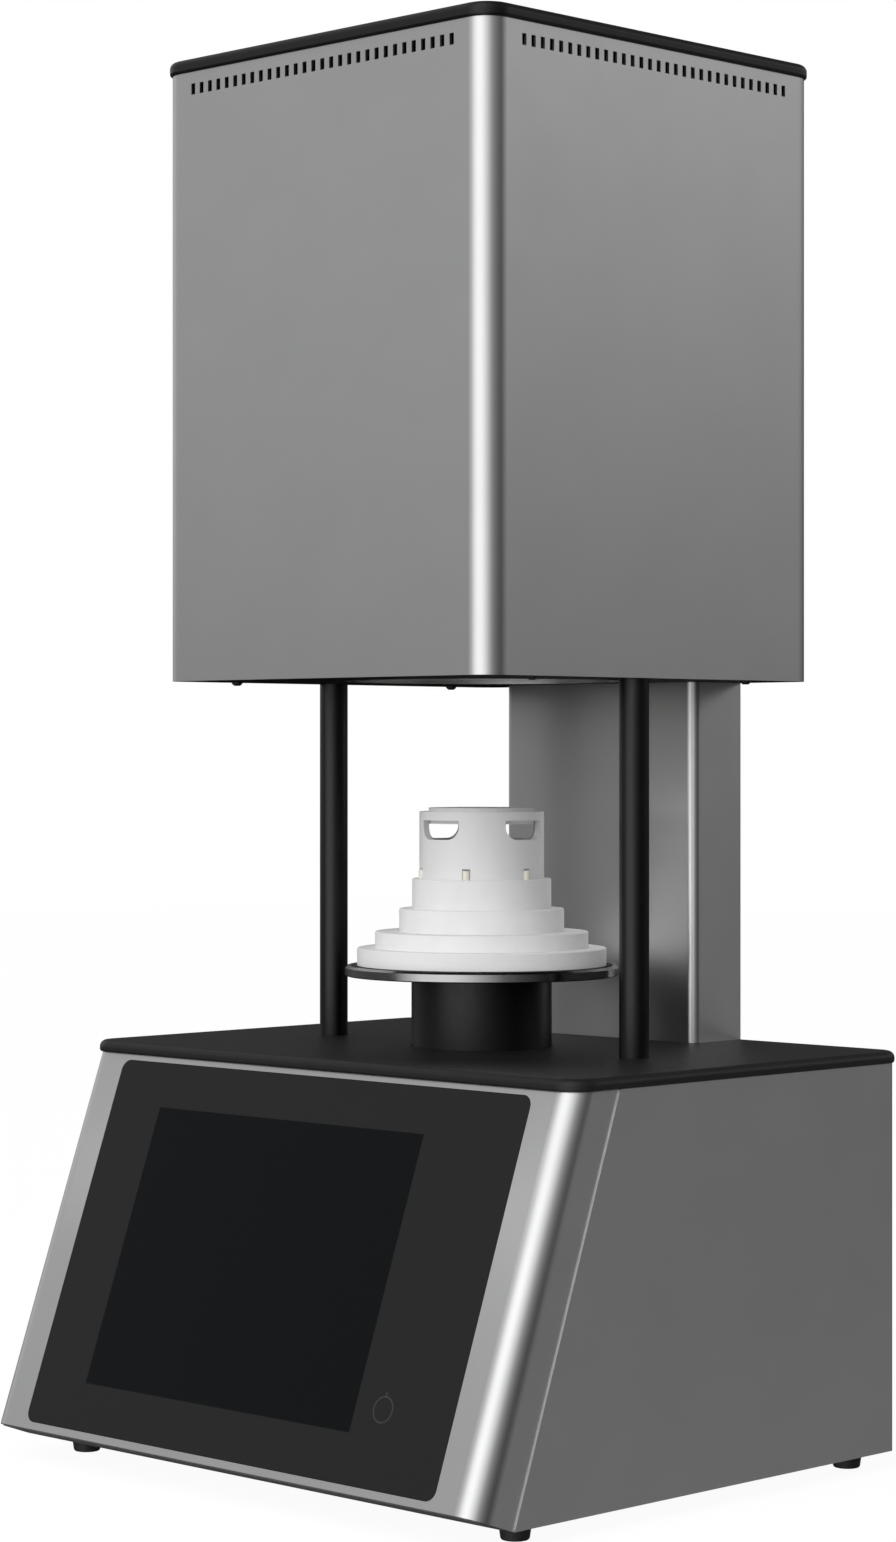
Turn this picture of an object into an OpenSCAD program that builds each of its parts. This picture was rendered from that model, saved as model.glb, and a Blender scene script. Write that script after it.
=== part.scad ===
// Bottom-loading dental sintering furnace, millimetres.
// +Z is up, +X is to the right and the slanted display faces -Y. The origin is
// at the bottom centre of the object's box, on the surface that the feet stand on.

/* [Base cabinet] */
// Width of the base across its sheet-metal sides
base_w = 383; // [370:1:420]
// Height of the base's sheet metal
base_h = 215.1; // [212:0.1:250]
// Distance from the lift axis back to the rear wall
base_back = 131.7; // [129:0.1:136]
// Distance from the lift axis forward to the top edge of the slanted front
front_top = 126.5; // [120:0.5:140]
// Lean of the front from the vertical, in degrees
slant = 20; // [14:1:24]
// Depth of the front cover where it wraps round the sides, square to its face
wing_w = 30; // [26:1:40]
// Inset of the front cover's sides from the shell's sides
cover_inset = 0.8; // [0.4:0.1:1.2]
// Outer bend radius of the front cover's long edges
front_bend_r = 13.5; // [6:0.5:15]
// Outer bend radius of the shell's rear edges
rear_bend_r = 2.5; // [2:0.5:6]
// Gap of the seam between front cover and shell
seam_gap = 0.3; // [0.3:0.1:1.2]
// Width of the stepped-in strip that backs the seam on each side of it
joggle_w = 10; // [6:1:14]
// Width of the folded-in ledge that carries the top plate
ledge_w = 12; // [8:1:16]
// Thickness of the casing sheet
sheet_t = 1.5; // [1:0.1:2]
// Clearance between sheet parts that nest in each other
nest_gap = 0.3; // [0.2:0.1:0.6]
// Height of the tray's underside above the casing's lower edge
tray_rise = 1; // [0.5:0.5:3]
// Thickness of the tray
tray_t = 1.5; // [1:0.1:3]
// Height of the tray's side and rear flanges
tray_flange_h = 14; // [8:1:20]
// Length of the tray's front lip that shows below the front cover
lip_drop = 0.6; // [0.2:0.1:1]

/* [Top plate] */
// Thickness of the base's top plate
plate_t = 6.6; // [6:0.1:10]
// Overhang of the top plate at the sides
plate_lip = 1.3; // [1:0.1:4]
// Overhang of the top plate at the front
plate_front_lip = 1.8; // [1:0.1:4]
// Overhang of the top plate at the rear
plate_rear_lip = 9.3; // [7.5:0.1:12]
// Corner radius of the top plate in plan
plate_corner_r = 16; // [8:0.5:20]
// Radius of the top plate's upper edge
plate_edge_r = 3.8; // [1:0.1:4]
// Radius of the top plate's lower edge
plate_under_r = 1.4; // [0.5:0.1:2]
// Clearance of the top plate's hole round the pedestal
plate_hole_gap = 0.6; // [0.4:0.1:2]

/* [Feet] */
// Clearance between the casing's lower edge and the ground
foot_h = 10.3; // [9:0.1:20]
// Radius of a foot at its top
foot_r = 9.1; // [7:0.1:12]
// Radius of a foot at its tread
foot_tread_r = 7.6; // [6.5:0.1:10]
// Edge radius of the tread
foot_edge_r = 1.4; // [0.5:0.1:2]
// Distance of the feet's axes from the base's sides
foot_side = 22.5; // [20:0.5:40]
// Distance of the front feet in front of the lift axis
foot_front = 149; // [130:0.5:150]
// Distance of the rear feet behind the lift axis
foot_rear = 117.8; // [100:0.1:118]
// Radius of the foot screws
foot_screw_r = 2; // [1.5:0.5:3]
// Radius of the foot screws' heads
foot_head_r = 3.8; // [3.5:0.1:4.2]
// Height of the foot screws' heads
foot_head_h = 2.6; // [2:0.1:3]
// Depth of the pocket that hides a foot screw's head
foot_pocket_h = 5; // [4:0.5:6]

/* [Glass and display] */
// Distance of the glass panel from the base's sides
glass_side = 30.5; // [26:0.25:40]
// Height of the glass panel along the slant
glass_h = 210; // [190:1:212]
// Corner radius of the glass panel
glass_r = 6; // [2:0.5:12]
// Thickness of the glass panel
glass_t = 3; // [2:0.5:4]
// Distance of the glass below the top edge of the front
glass_top = 3.6; // [3:0.1:12]
// Gap round the glass panel
glass_gap = 0.3; // [0.2:0.1:0.8]
// Width of the display's visible area
screen_w = 211; // [180:1:220]
// Height of the display's visible area
screen_h = 158.4; // [130:0.1:165]
// Sideways place of the display's centre
screen_x = -14.5; // [-30:0.5:10]
// Distance of the visible area below the top of the glass
screen_top = 25.4; // [14:0.1:35]
// Rim of the display module round its visible area
screen_rim = 8.5; // [5:0.5:10]
// Thickness of the display module
screen_t = 9; // [6:0.5:12]
// Thickness of the frame behind the glass
frame_t = 1.5; // [1:0.1:3]
// Overlap of that frame beside the glass
frame_lip = 8; // [5:0.5:12]
// Width of the control board
board_w = 170; // [150:1:190]
// Height of the control board
board_h = 110; // [100:1:130]
// Thickness of the control board
board_t = 1.6; // [1:0.2:2.4]
// Length of the control board's spacers
spacer_h = 8; // [5:1:12]

/* [Lift table] */
// Outer radius of the pedestal tube
pedestal_r = 39.8; // [36:0.1:42]
// Wall of the pedestal tube
pedestal_wall = 3; // [2:0.5:5]
// Length of the pedestal that shows when the table is down
pedestal_show = 39.8; // [34:0.1:60]
// Radius of the lift disc
disc_r = 77.4; // [76:0.1:79]
// Thickness of the lift disc
disc_t = 5.8; // [5:0.1:10]
// Bevel on the disc's upper edge
disc_bevel = 1.2; // [0.5:0.1:2]
// Bevel on the disc's lower edge
disc_under = 0.6; // [0.3:0.1:1]
// Width of the seat ring round the plug
seat_w = 3.6; // [2:0.1:5]
// Depth of the seat ring's groove in the disc
seat_depth = 1.2; // [0.8:0.1:2]
// Height that the seat ring stands above the disc
seat_proud = 0.2; // [0.1:0.1:0.4]
// Gap between the raised disc and the housing floor
close_gap = 0.6; // [0.5:0.1:2]
// Radial running clearance of rods, shafts and the pedestal
run_fit = 0.05; // [0.02:0.01:0.1]
// Radial clearance of a piece pushed into its seat on the same body
seat_fit = 0.02; // [0.01:0.01:0.05]

/* [Plug and crucible] */
// Radius of the plug's first tier
tier_1_r = 70.6; // [68:0.1:72]
// Height of the first tier's top above the disc
tier_1_z = 10; // [8:0.1:12]
// Radius of the second tier
tier_2_r = 60.4; // [58:0.1:66]
// Height of the second tier's top above the disc
tier_2_z = 19.2; // [16:0.1:22]
// Radius of the third tier
tier_3_r = 46.7; // [45:0.1:52]
// Height of the third tier's top above the disc
tier_3_z = 32.2; // [28:0.1:36]
// Radius of the fourth tier
tier_4_r = 39.4; // [38.8:0.1:42]
// Height of the fourth tier's top above the disc
tier_4_z = 49.1; // [44:0.1:54]
// Outer radius of the crucible
crucible_r = 35.3; // [33:0.1:36]
// Wall of the crucible
crucible_wall = 3.8; // [3:0.1:5]
// Thickness of the crucible's floor
crucible_floor = 3; // [2:0.1:5]
// Height of the crucible's wall
crucible_h = 33.1; // [30:0.1:40]
// Height of the crucible's slots
slot_h = 10.8; // [8:0.1:14]
// Width of a slot across the wall
slot_w = 27.8; // [24:0.1:32]
// Corner radius at the foot of a slot
slot_r = 7.2; // [3:0.1:7.6]
// Thickness of the lid's rim
lid_t = 4.9; // [4:0.1:8]
// Radius of the lid's raised boss
lid_boss_r = 30; // [24:0.5:30.5]
// Height of the lid's raised boss
lid_boss_h = 2.1; // [1:0.1:3]
// Depth of the spigot under the lid
lid_spigot_h = 2; // [1:0.1:4]
// Clearance of the spigot in the crucible
spigot_gap = 0.4; // [0.3:0.1:1]
// Radius of a centring pin
pin_r = 2.1; // [1.5:0.1:2.5]
// Distance of the pins' axes inside the crucible's outer face
pin_inset = 0.6; // [0:0.1:0.8]
// Height of a centring pin above the plug
pin_h = 5.1; // [3:0.1:8]
// Depth of a pin's hole in the plug
pin_depth = 8; // [5:1:12]
// Clearance of a pin in the crucible's groove
pin_gap = 0.3; // [0.3:0.05:0.5]

/* [Lift drive] */
// Thickness of the carriage
carriage_t = 10; // [8:1:10]
// Width of the carriage
carriage_w = 176; // [170:1:180]
// Depth of the carriage
carriage_d = 50; // [44:1:60]
// Height of the carriage above the tray when the table is down
carriage_lift = 19; // [18.5:0.5:19]
// Radius of the guide rods
rod_r = 6; // [4:0.5:8]
// Distance of the guide rods' axes from the carriage's sides
rod_side = 16; // [13.5:0.5:18]
// Outer radius of the linear bearings
bearing_r = 10.5; // [9:0.5:11.5]
// Length of the linear bearings
bearing_l = 24; // [16:1:24]
// Radius of the lead screw
screw_r = 6; // [5:0.5:8]
// Radius of the screw's lower journal
journal_r = 5; // [3:0.5:5]
// Height of the screw's lower bearing
journal_h = 8; // [6:0.5:8]
// Radius of the nut's body
nut_r = 11; // [10:0.5:13]
// Radius of the nut's flange
nut_flange_r = 18; // [16:0.5:24]
// Thickness of the nut's flange
nut_flange_t = 5; // [3:0.5:6]
// Length of the nut above the carriage
nut_l = 20; // [12:1:24]
// Radius of both belt pulleys
pulley_r = 12; // [10:0.5:14]
// Width of both belt pulleys between their flanges
pulley_h = 7.4; // [6:0.1:7.4]
// Thickness of a pulley flange
pulley_flange_t = 0.8; // [0.5:0.1:0.8]
// Rim of a pulley flange beyond the belt
pulley_flange_w = 2; // [1.8:0.1:3]
// Thickness of the belt
belt_t = 1.4; // [1:0.1:1.6]
// Side gap of the belt between the pulley flanges
belt_side_gap = 0.4; // [0.3:0.1:0.8]
// Distance of the motor's axis from the base's left side
motor_side = 85.5; // [80:0.5:87]
// Distance of the motor behind the lift axis
motor_y = 62; // [60:1:66]
// Side of the square motor
motor_w = 57; // [50:1:60]
// Height of the motor
motor_h = 56; // [40:1:80]
// Thickness of the motor bracket
bracket_t = 3; // [2:0.5:4]
// Height of the guide bush's collar
bush_h = 22; // [16:0.5:22]
// Radius of the guide bush's collar
bush_r = 50; // [46:1:56]
// Thickness of the guide bush's flange
bush_flange_t = 8; // [6:0.5:8]
// Depth of the guide bush's flange
bush_flange_d = 104; // [100:1:120]

/* [Posts and column] */
// Clear height between the top plate and the housing
work_h = 206.2; // [200:0.1:240]
// Radius of the front posts
post_r = 8.2; // [6:0.1:9]
// Distance of the posts from the middle plane
post_x = 118.7; // [112:0.1:119]
// Distance of the posts in front of the lift axis
post_front = 3; // [0:0.5:20]
// Radius of the tie rods inside the posts
tie_r = 3; // [2:0.5:4]
// Clearance of the tie rods
tie_gap = 0.3; // [0.2:0.1:0.5]
// Thickness of the tie rods' nuts
tie_nut_h = 5; // [4:0.5:6]
// Width of the column cover
col_w = 149.6; // [146:0.1:156]
// Distance of the column's front face behind the lift axis
col_front = 97; // [95:0.5:100]
// Bend radius of the column cover
col_bend_r = 5.2; // [3:0.1:8]
// Inset of the column's back from the housing's back
col_inset = 1; // [0.5:0.1:2]
// Length of the column back below the top plate
back_drop = 92; // [60:1:110]
// Clearance between the column frame and its cover
col_gap = 10; // [8:0.5:14]
// Thickness of the column frame
col_frame_t = 3; // [2:0.5:4]
// Depth of the column frame
col_frame_d = 22; // [18:1:24]
// Length of the column frame inside the housing
col_frame_rise = 200; // [150:1:220]

/* [Housing] */
// Width of the housing
house_w = 257.2; // [252:0.1:276]
// Depth of the housing
house_d = 266.2; // [264:0.1:280]
// Distance of the housing's back from the lift axis
house_back = 139; // [138:0.1:142]
// Height of the housing shell
house_h = 342.2; // [335:0.1:380]
// Corner radius of the housing shell
house_r = 14; // [8:0.5:20]
// Thickness of the housing floor
floor_t = 3; // [2:0.5:4]
// Width of the shell's folded-in flange above the floor
house_flange_w = 14; // [10:1:16]
// Thickness of the cap
cap_t = 7.9; // [7:0.1:12]
// Overhang of the cap
cap_lip = 1.6; // [1:0.1:3]
// Radius of the cap's upper edge
cap_edge_r = 3.8; // [1:0.1:4]
// Radius of the cap's lower edge
cap_under_r = 1.6; // [0.5:0.1:2]
// Depth of the rib that centres the cap in the shell
cap_rib_h = 5; // [3:0.5:6]
// Thickness of that rib
cap_rib_t = 2; // [1.5:0.1:3]
// Width of a vent slot
vent_w = 3.2; // [2:0.1:4]
// Height of a vent slot
vent_h = 6.2; // [4:0.1:8]
// Distance of the vent slots below the cap
vent_drop = 6.6; // [6:0.1:12]
// Pitch of the vent slots
vent_pitch = 7.05; // [5:0.05:9]
// Number of vent slots on the front and on the back
vents_front = 30; // [20:1:31]
// Number of vent slots on each side
vents_side = 31; // [20:1:32]

/* [Heating chamber] */
// Space between the insulation blocks and the column frame
block_gap = 5; // [3.5:0.1:8]
// Gap between the plug's sides and the mouth
plug_gap_r = 2.4; // [1.5:0.1:2.4]
// Gap between the plug's steps and the mouth's steps
plug_gap_z = 1.6; // [1.5:0.1:3]
// Width of the mouth ring
mouth_ring_w = 7; // [4:0.5:8]
// Radius of the chamber
chamber_r = 62; // [58:0.5:66]
// Height of the chamber above the stepped mouth
chamber_h = 110; // [104:1:120]
// Thickness of the chamber roof
roof_t = 75; // [50:1:80]
// Thickness of the inner casing
casing_t = 1; // [0.8:0.1:1.5]
// Gap between the inner casing and the blocks
casing_gap = 0.4; // [0.3:0.1:1]
// Distance of the heating elements from the axis
element_out = 51; // [50:0.5:54]
// Half distance between the legs of one element
element_bend_r = 12.5; // [10:0.5:14]
// Radius of an element's hot zone
element_r = 2; // [1.5:0.1:2.5]
// Radius of an element's terminals
terminal_r = 3.5; // [3:0.1:4.5]
// Clearance of the terminals in the roof
terminal_gap = 0.8; // [0.5:0.1:1.5]
// Height of the elements' bends above the chamber's foot
element_rise = 18; // [16:1:24]
// Length of the terminals above the roof
terminal_rise = 26; // [22:1:30]
// Radius of the thermocouple's sheath
sheath_r = 3; // [2:0.5:4]
// Length of the sheath inside the chamber
sheath_dip = 5; // [3:0.5:5]

/* [Rear connections and fan] */
// Distance of the mains module's middle from the base's left side
inlet_side = 63.5; // [52:0.5:70]
// Height of the mains module above the casing's lower edge
inlet_z = 62; // [55:1:90]
// Width of the mains module's flange
inlet_w = 34; // [32:1:40]
// Height of the mains module's flange
inlet_h = 76; // [72:1:80]
// Thickness of the mains module's flange
inlet_t = 2; // [1.5:0.1:3]
// Tilt of the rocker from its middle in each position, in degrees
rocker_tilt = 8; // [6:1:10]
// Side of the square fan
fan_w = 60; // [50:1:70]
// Thickness of the fan
fan_t = 20; // [18:1:25]
// Distance of the fan's axis from the base's right side
fan_side = 66.5; // [52:0.5:70]
// Height of the fan's centre above the casing's lower edge
fan_z = 150; // [140:1:160]
// Number of fan blades
fan_blades = 7; // [5:1:9]
// Distance of the network socket's middle from the base's right side
lan_side = 79.5; // [74:0.5:84]
// Distance of the data socket's middle from the base's right side
data_side = 53.5; // [42:0.5:58]
// Height of both sockets above the casing's lower edge
socket_z = 62; // [58:1:90]

/* [Hidden] */
$fn = 64;
eps = 0.01;

// Heights above the ground
base_z = foot_h;
tray_z = base_z + tray_rise;
tray_top = tray_z + tray_t;
deck_z = base_z + base_h;
table_z = deck_z + plate_t;
house_z = table_z + work_h;
floor_top = house_z + floor_t;
cap_z = house_z + house_h;
disc_z = table_z + pedestal_show;
seat_z = disc_z + disc_t;
plug_z = seat_z + tier_4_z;
lid_z = plug_z + crucible_h;
stroke = house_z - close_gap - seat_z;

// The slanted front
cover_len = (base_h - wing_w * sin(slant)) / cos(slant);
front_reach = front_top + cover_len * sin(slant);
heel_y = wing_w * cos(slant) - front_reach;
rear_reach = max(house_back + cap_lip, base_back + plate_rear_lip);
axis_y = (front_reach - rear_reach) / 2;
inner_back = base_back - sheet_t;
inner_half = base_w / 2 - sheet_t;
strip_half = inner_half - cover_inset;
foot_x = base_w / 2 - foot_side;
glass_w = base_w - 2 * glass_side;
tray_flange_y = heel_y + (seam_gap + joggle_w) / cos(slant) + 6;
window_z = -(glass_top + glass_h / 2);
screen_z = -(glass_top + screen_top + screen_h / 2);
module_back = glass_t + screen_t;
board_y = module_back + spacer_h;

// Sideways places on the rear wall
inlet_x = inlet_side - base_w / 2;
fan_x = base_w / 2 - fan_side;
lan_x = base_w / 2 - lan_side;
data_x = base_w / 2 - data_side;

// Lift drive
carriage_z = tray_top + carriage_lift;
tube_z = carriage_z + carriage_t;
pulley_z = tray_top + journal_h + 1;
pulley_full_h = pulley_h + 2 * pulley_flange_t;
bracket_z = pulley_z + pulley_full_h + 1.5;
motor_z = bracket_z + bracket_t;
screw_top = tube_z + nut_l + stroke + 2;
rod_x = carriage_w / 2 - rod_side;
motor_x = motor_side - base_w / 2;
belt_len = norm([motor_x, motor_y]);
belt_turn = atan2(motor_y, motor_x);

// Posts, column and housing
house_front = house_d - house_back;
house_mid = (house_back - house_front) / 2;
col_back_y = house_back - col_inset;
col_frame_half = col_w / 2 - col_gap;
col_frame_y = col_front + col_gap * 0.6;
vent_z = cap_z - vent_drop - vent_h;
mouth_r = tier_1_r + plug_gap_r;
mouth_ring_r = mouth_r + mouth_ring_w;

// Stepped mouth: hole radius and top height of each board
tier_r = [tier_1_r, tier_2_r, tier_3_r, tier_4_r];
tier_z = [tier_1_z, tier_2_z, tier_3_z, tier_4_z];
function step_z(i) = i < 0 ? floor_top : house_z - close_gap + tier_z[i] + plug_gap_z;
chamber_z = step_z(3);
roof_z = chamber_z + chamber_h;
roof_top = roof_z + roof_t;
block_w = 2 * (col_frame_y - block_gap);
casing_half = block_w / 2 + casing_gap;

// Moves a piece from the lift axis to the part's origin
module placed() {
    translate([0, axis_y, 0]) children();
}

// Plane of the slanted front: X across, Z up the slant, +Y into the base
module on_front() {
    translate([0, -front_top, deck_z]) rotate([-slant, 0, 0]) children();
}

// Plane of the rear wall: X across, Z up, +Y out of the base
module on_rear(x, z) {
    translate([x, base_back, base_z + z]) children();
}

module both_sides() {
    children();
    mirror([1, 0, 0]) children();
}

module rounded_square(w, d, r) {
    square([w - 2 * r, d], center = true);
    square([w, d - 2 * r], center = true);
    for (x = [-1, 1], y = [-1, 1])
        translate([x * (w / 2 - r), y * (d / 2 - r)]) circle(r);
}

module ring(r_out, r_in, h) {
    difference() {
        cylinder(r = r_out, h = h);
        translate([0, 0, -1]) cylinder(r = r_in, h = h + 2);
    }
}

module upper_half_disc(r) {
    intersection() {
        circle(r);
        translate([-r, 0]) square([2 * r, r]);
    }
}

// Cross-section of a slab of width w with round edges
module slab_outline(w, h, low_r, top_r) {
    translate([-w / 2 + top_r, 0]) square([w - 2 * top_r, h]);
    translate([-w / 2 + low_r, 0]) square([w - 2 * low_r, h - top_r]);
    translate([-w / 2, low_r]) square([w, h - low_r - top_r]);
    for (x = [-1, 1]) {
        translate([x * (w / 2 - top_r), h - top_r]) upper_half_disc(top_r);
        translate([x * (w / 2 - low_r), low_r]) circle(low_r);
    }
}

// The same cross-section from the middle of a round corner to its rim
module corner_outline(r, h, low_r, top_r) {
    square([r - top_r, h]);
    square([r - low_r, h - top_r]);
    translate([0, low_r]) square([r, h - low_r - top_r]);
    translate([r - top_r, h - top_r]) upper_half_disc(top_r);
    translate([r - low_r, low_r]) circle(low_r);
}

// Slab with round corners in plan and round upper and lower edges
module soft_slab(w, d, h, corner_r, low_r, top_r) {
    bar_x = w - 2 * corner_r;
    bar_y = d - 2 * corner_r;
    rotate([90, 0, 0]) translate([0, 0, -bar_y / 2]) linear_extrude(bar_y)
        slab_outline(w, h, low_r, top_r);
    for (a = [0, 180]) rotate([0, 0, a]) translate([0, bar_y / 2, 0]) {
        translate([-bar_x / 2, 0, 0]) rotate([90, 0, 90]) linear_extrude(bar_x)
            corner_outline(corner_r, h, low_r, top_r);
        translate([bar_x / 2, 0, 0]) rotate_extrude(angle = 90)
            corner_outline(corner_r, h, low_r, top_r);
        translate([-bar_x / 2, 0, 0]) rotate([0, 0, 90]) rotate_extrude(angle = 90)
            corner_outline(corner_r, h, low_r, top_r);
    }
}

// Pan-head screw along +Z: head above the origin, shank below it
module pan_screw(r, head_r, head_h, len) {
    translate([0, 0, -len]) cylinder(r = r, h = len + head_h / 2);
    cylinder(r = head_r, h = head_h * 0.4);
    translate([0, 0, head_h * 0.4]) cylinder(r1 = head_r, r2 = head_r * 0.55, h = head_h * 0.6);
}

// Base cabinet

// Bent line of the tray from its rear flange to the lip under the slanted front
module tray_profile() {
    bend_y = heel_y - (tray_rise + lip_drop * cos(slant)) / tan(slant);
    tip = [bend_y - wing_w * cos(slant), tray_z + wing_w * sin(slant)];
    polygon([
        [tray_flange_y, tray_z],
        [bend_y, tray_z],
        tip,
        tip + tray_t * [sin(slant), cos(slant)],
        [bend_y + tray_t * tan(slant / 2), tray_top],
        [tray_flange_y, tray_top]
    ]);
}

module at_feet() {
    for (x = [-foot_x, foot_x], y = [-foot_front, foot_rear]) translate([x, y, 0]) children();
}

// Air slots in the tray, and the nuts welded on it
tray_slots = 9;
tray_slot_pitch = 9;
tray_slot_w = 4;
tray_slot_l = 50;
tray_slot_x = 70;
tray_slot_y = -105;
weld_nut_r = 4.6;
weld_nut_h = 4;

module base_tray() {
    tray_w = 2 * (strip_half - sheet_t - nest_gap);
    flange_d = inner_back - tray_flange_y;
    relief = rear_bend_r;
    color("dimgray") placed() difference() {
        union() {
            intersection() {
                rotate([90, 0, 90]) translate([0, 0, -tray_w / 2]) linear_extrude(tray_w) tray_profile();
                on_front() translate([0, 0, -2 * base_h]) linear_extrude(4 * base_h)
                    cover_outline(sheet_t + nest_gap, 2 * front_reach);
            }
            translate([-inner_half, tray_flange_y, tray_z]) cube([2 * inner_half, flange_d - relief, tray_t]);
            translate([relief - inner_half, tray_flange_y, tray_z])
                cube([2 * (inner_half - relief), flange_d, tray_t]);
            both_sides() translate([inner_half - tray_t, tray_flange_y, tray_z])
                cube([tray_t, flange_d - relief, tray_flange_h]);
            translate([relief - inner_half, inner_back - tray_t, tray_z])
                cube([2 * (inner_half - relief), tray_t, tray_flange_h]);
            at_feet() translate([0, 0, tray_z]) cylinder(r = weld_nut_r, h = tray_t + weld_nut_h);
        }
        at_feet() translate([0, 0, tray_z - 1])
            cylinder(r = foot_screw_r + run_fit, h = tray_t + weld_nut_h + 2);
        for (i = [0 : tray_slots - 1])
            translate([tray_slot_x + (i - (tray_slots - 1) / 2) * tray_slot_pitch, tray_slot_y, tray_z - 1])
                linear_extrude(tray_t + 2)
                rounded_square(tray_slot_w, tray_slot_l, tray_slot_w / 2 - eps);
    }
}

// Plan of the shell, moved in from its outer face by inset
module shell_outline(inset, extra) {
    r = max(rear_bend_r - inset, 0.4);
    half = base_w / 2 - inset;
    y0 = -front_reach - extra;
    translate([-half, y0]) square([2 * half, base_back - inset - r - y0]);
    translate([-half + r, y0]) square([2 * (half - r), base_back - inset - y0]);
    for (x = [-1, 1]) translate([x * (half - r), base_back - inset - r]) circle(r);
}

module ahead_of_seam() {
    on_front() translate([-base_w, -base_h, -2 * base_h])
        cube([2 * base_w, base_h + wing_w + seam_gap, 3 * base_h]);
}

// Strip behind the seam: it backs the cover's wing, and its rear half steps out to the shell
module seam_strip() {
    inside = strip_half - sheet_t;
    intersection() {
        on_front() translate([0, 0, -cover_len + 1]) linear_extrude(2 * base_h) polygon([
            [inside, wing_w - joggle_w],
            [strip_half, wing_w - joggle_w],
            [strip_half, wing_w + seam_gap],
            [inner_half, wing_w + seam_gap],
            [inner_half, wing_w + seam_gap + joggle_w],
            [inside, wing_w + seam_gap + joggle_w]
        ]);
        translate([0, -2 * front_reach, base_z + tray_rise])
            cube([base_w, 4 * front_reach, base_h - tray_rise]);
    }
}

module base_shell() {
    color("silver") placed() difference() {
        union() {
            difference() {
                union() {
                    translate([0, 0, base_z]) linear_extrude(base_h) difference() {
                        shell_outline(0, 0);
                        shell_outline(sheet_t, 1);
                    }
                    translate([0, 0, deck_z - sheet_t]) linear_extrude(sheet_t) difference() {
                        shell_outline(sheet_t / 2, 0);
                        shell_outline(ledge_w, 1);
                    }
                }
                ahead_of_seam();
            }
            both_sides() seam_strip();
        }
        on_rear(inlet_x, inlet_z) translate([-inlet_w / 2 + 3, -sheet_t - 1, -inlet_h / 2 + 3])
            cube([inlet_w - 6, sheet_t + 2, inlet_h - 6]);
        on_rear(fan_x, fan_z) rotate([90, 0, 0]) translate([0, 0, -1])
            cylinder(r = fan_duct_r, h = sheet_t + 2);
        on_rear(lan_x, socket_z) translate([-lan_w / 2 - nest_gap, -sheet_t - 1, -lan_h / 2 - nest_gap])
            cube([lan_w + 2 * nest_gap, sheet_t + 2, lan_h + 2 * nest_gap]);
        on_rear(data_x, socket_z)
            translate([-data_w / 2 - nest_gap, -sheet_t - 1, -data_h / 2 - nest_gap])
            cube([data_w + 2 * nest_gap, sheet_t + 2, data_h + 2 * nest_gap]);
        at_rear_screws() screw_hole();
        translate([-col_frame_half - 2, inner_back - ledge_w, deck_z - sheet_t - 1])
            cube([2 * col_frame_half + 4, ledge_w, sheet_t + 2]);
    }
}

// Plan of the front cover, moved in from its outer face by inset
module cover_outline(inset, extra) {
    r = front_bend_r - inset;
    half = base_w / 2 - cover_inset - inset;
    translate([-half, inset + r]) square([2 * half, wing_w + extra - inset - r]);
    translate([-half + r, inset]) square([2 * (half - r), wing_w + extra - inset]);
    for (x = [-1, 1]) translate([x * (half - r), inset + r]) circle(r);
}

module window_cut(gap, depth, from) {
    translate([0, from + depth, window_z]) rotate([90, 0, 0])
        linear_extrude(depth) rounded_square(glass_w + 2 * gap, glass_h + 2 * gap, glass_r + gap);
}

module front_cover() {
    color("silver") placed() difference() {
        on_front() difference() {
            translate([0, 0, -cover_len]) linear_extrude(cover_len + wing_w) difference() {
                cover_outline(0, 0);
                cover_outline(sheet_t, 1);
            }
            window_cut(glass_gap, sheet_t + 2, -1);
        }
        translate([-base_w, -2 * front_reach, deck_z]) cube([2 * base_w, 4 * front_reach, base_h]);
    }
}

module top_plate() {
    slot_half = col_frame_half + 1;
    notch_half = col_w / 2 + nest_gap;
    front = front_top + plate_front_lip;
    back = base_back + plate_rear_lip;
    color("#262626") placed() difference() {
        translate([0, (back - front) / 2, deck_z])
            soft_slab(base_w + 2 * plate_lip, front + back, plate_t, plate_corner_r, plate_under_r,
                plate_edge_r);
        translate([0, 0, deck_z - 1]) cylinder(r = pedestal_r + plate_hole_gap, h = plate_t + 2);
        both_sides() translate([post_x, -post_front, deck_z - 1])
            cylinder(r = tie_r + tie_gap, h = plate_t + 2);
        translate([-slot_half, col_frame_y - 1, deck_z - 1])
            cube([2 * slot_half, base_back - col_frame_y + 2, plate_t + 2]);
        translate([-notch_half, base_back, deck_z - 1])
            cube([2 * notch_half, plate_rear_lip + 1, plate_t + 2]);
    }
}

module foot() {
    step = 30;
    edge = [for (a = [0 : step : 90])
        [foot_tread_r - foot_edge_r + foot_edge_r * sin(a), foot_edge_r - foot_edge_r * cos(a)]];
    pocket = foot_head_r + 0.6;
    rotate_extrude() polygon(concat([[pocket, 0]], edge, [
        [foot_r, tray_z],
        [foot_screw_r + run_fit, tray_z],
        [foot_screw_r + run_fit, foot_pocket_h],
        [pocket, foot_pocket_h]
    ]));
}

module feet() {
    color("#101010") placed() at_feet() foot();
}

module foot_screws() {
    color("gray") placed() at_feet() {
        difference() {
            translate([0, 0, foot_pocket_h - foot_head_h]) cylinder(r = foot_head_r, h = foot_head_h);
            translate([0, 0, foot_pocket_h - foot_head_h - 1]) cylinder(r = foot_head_r / 2, h = 2.4, $fn = 6);
        }
        translate([0, 0, foot_pocket_h - eps])
            cylinder(r = foot_screw_r, h = tray_top + weld_nut_h - foot_pocket_h);
    }
}

// Glass, display and control board

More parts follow.
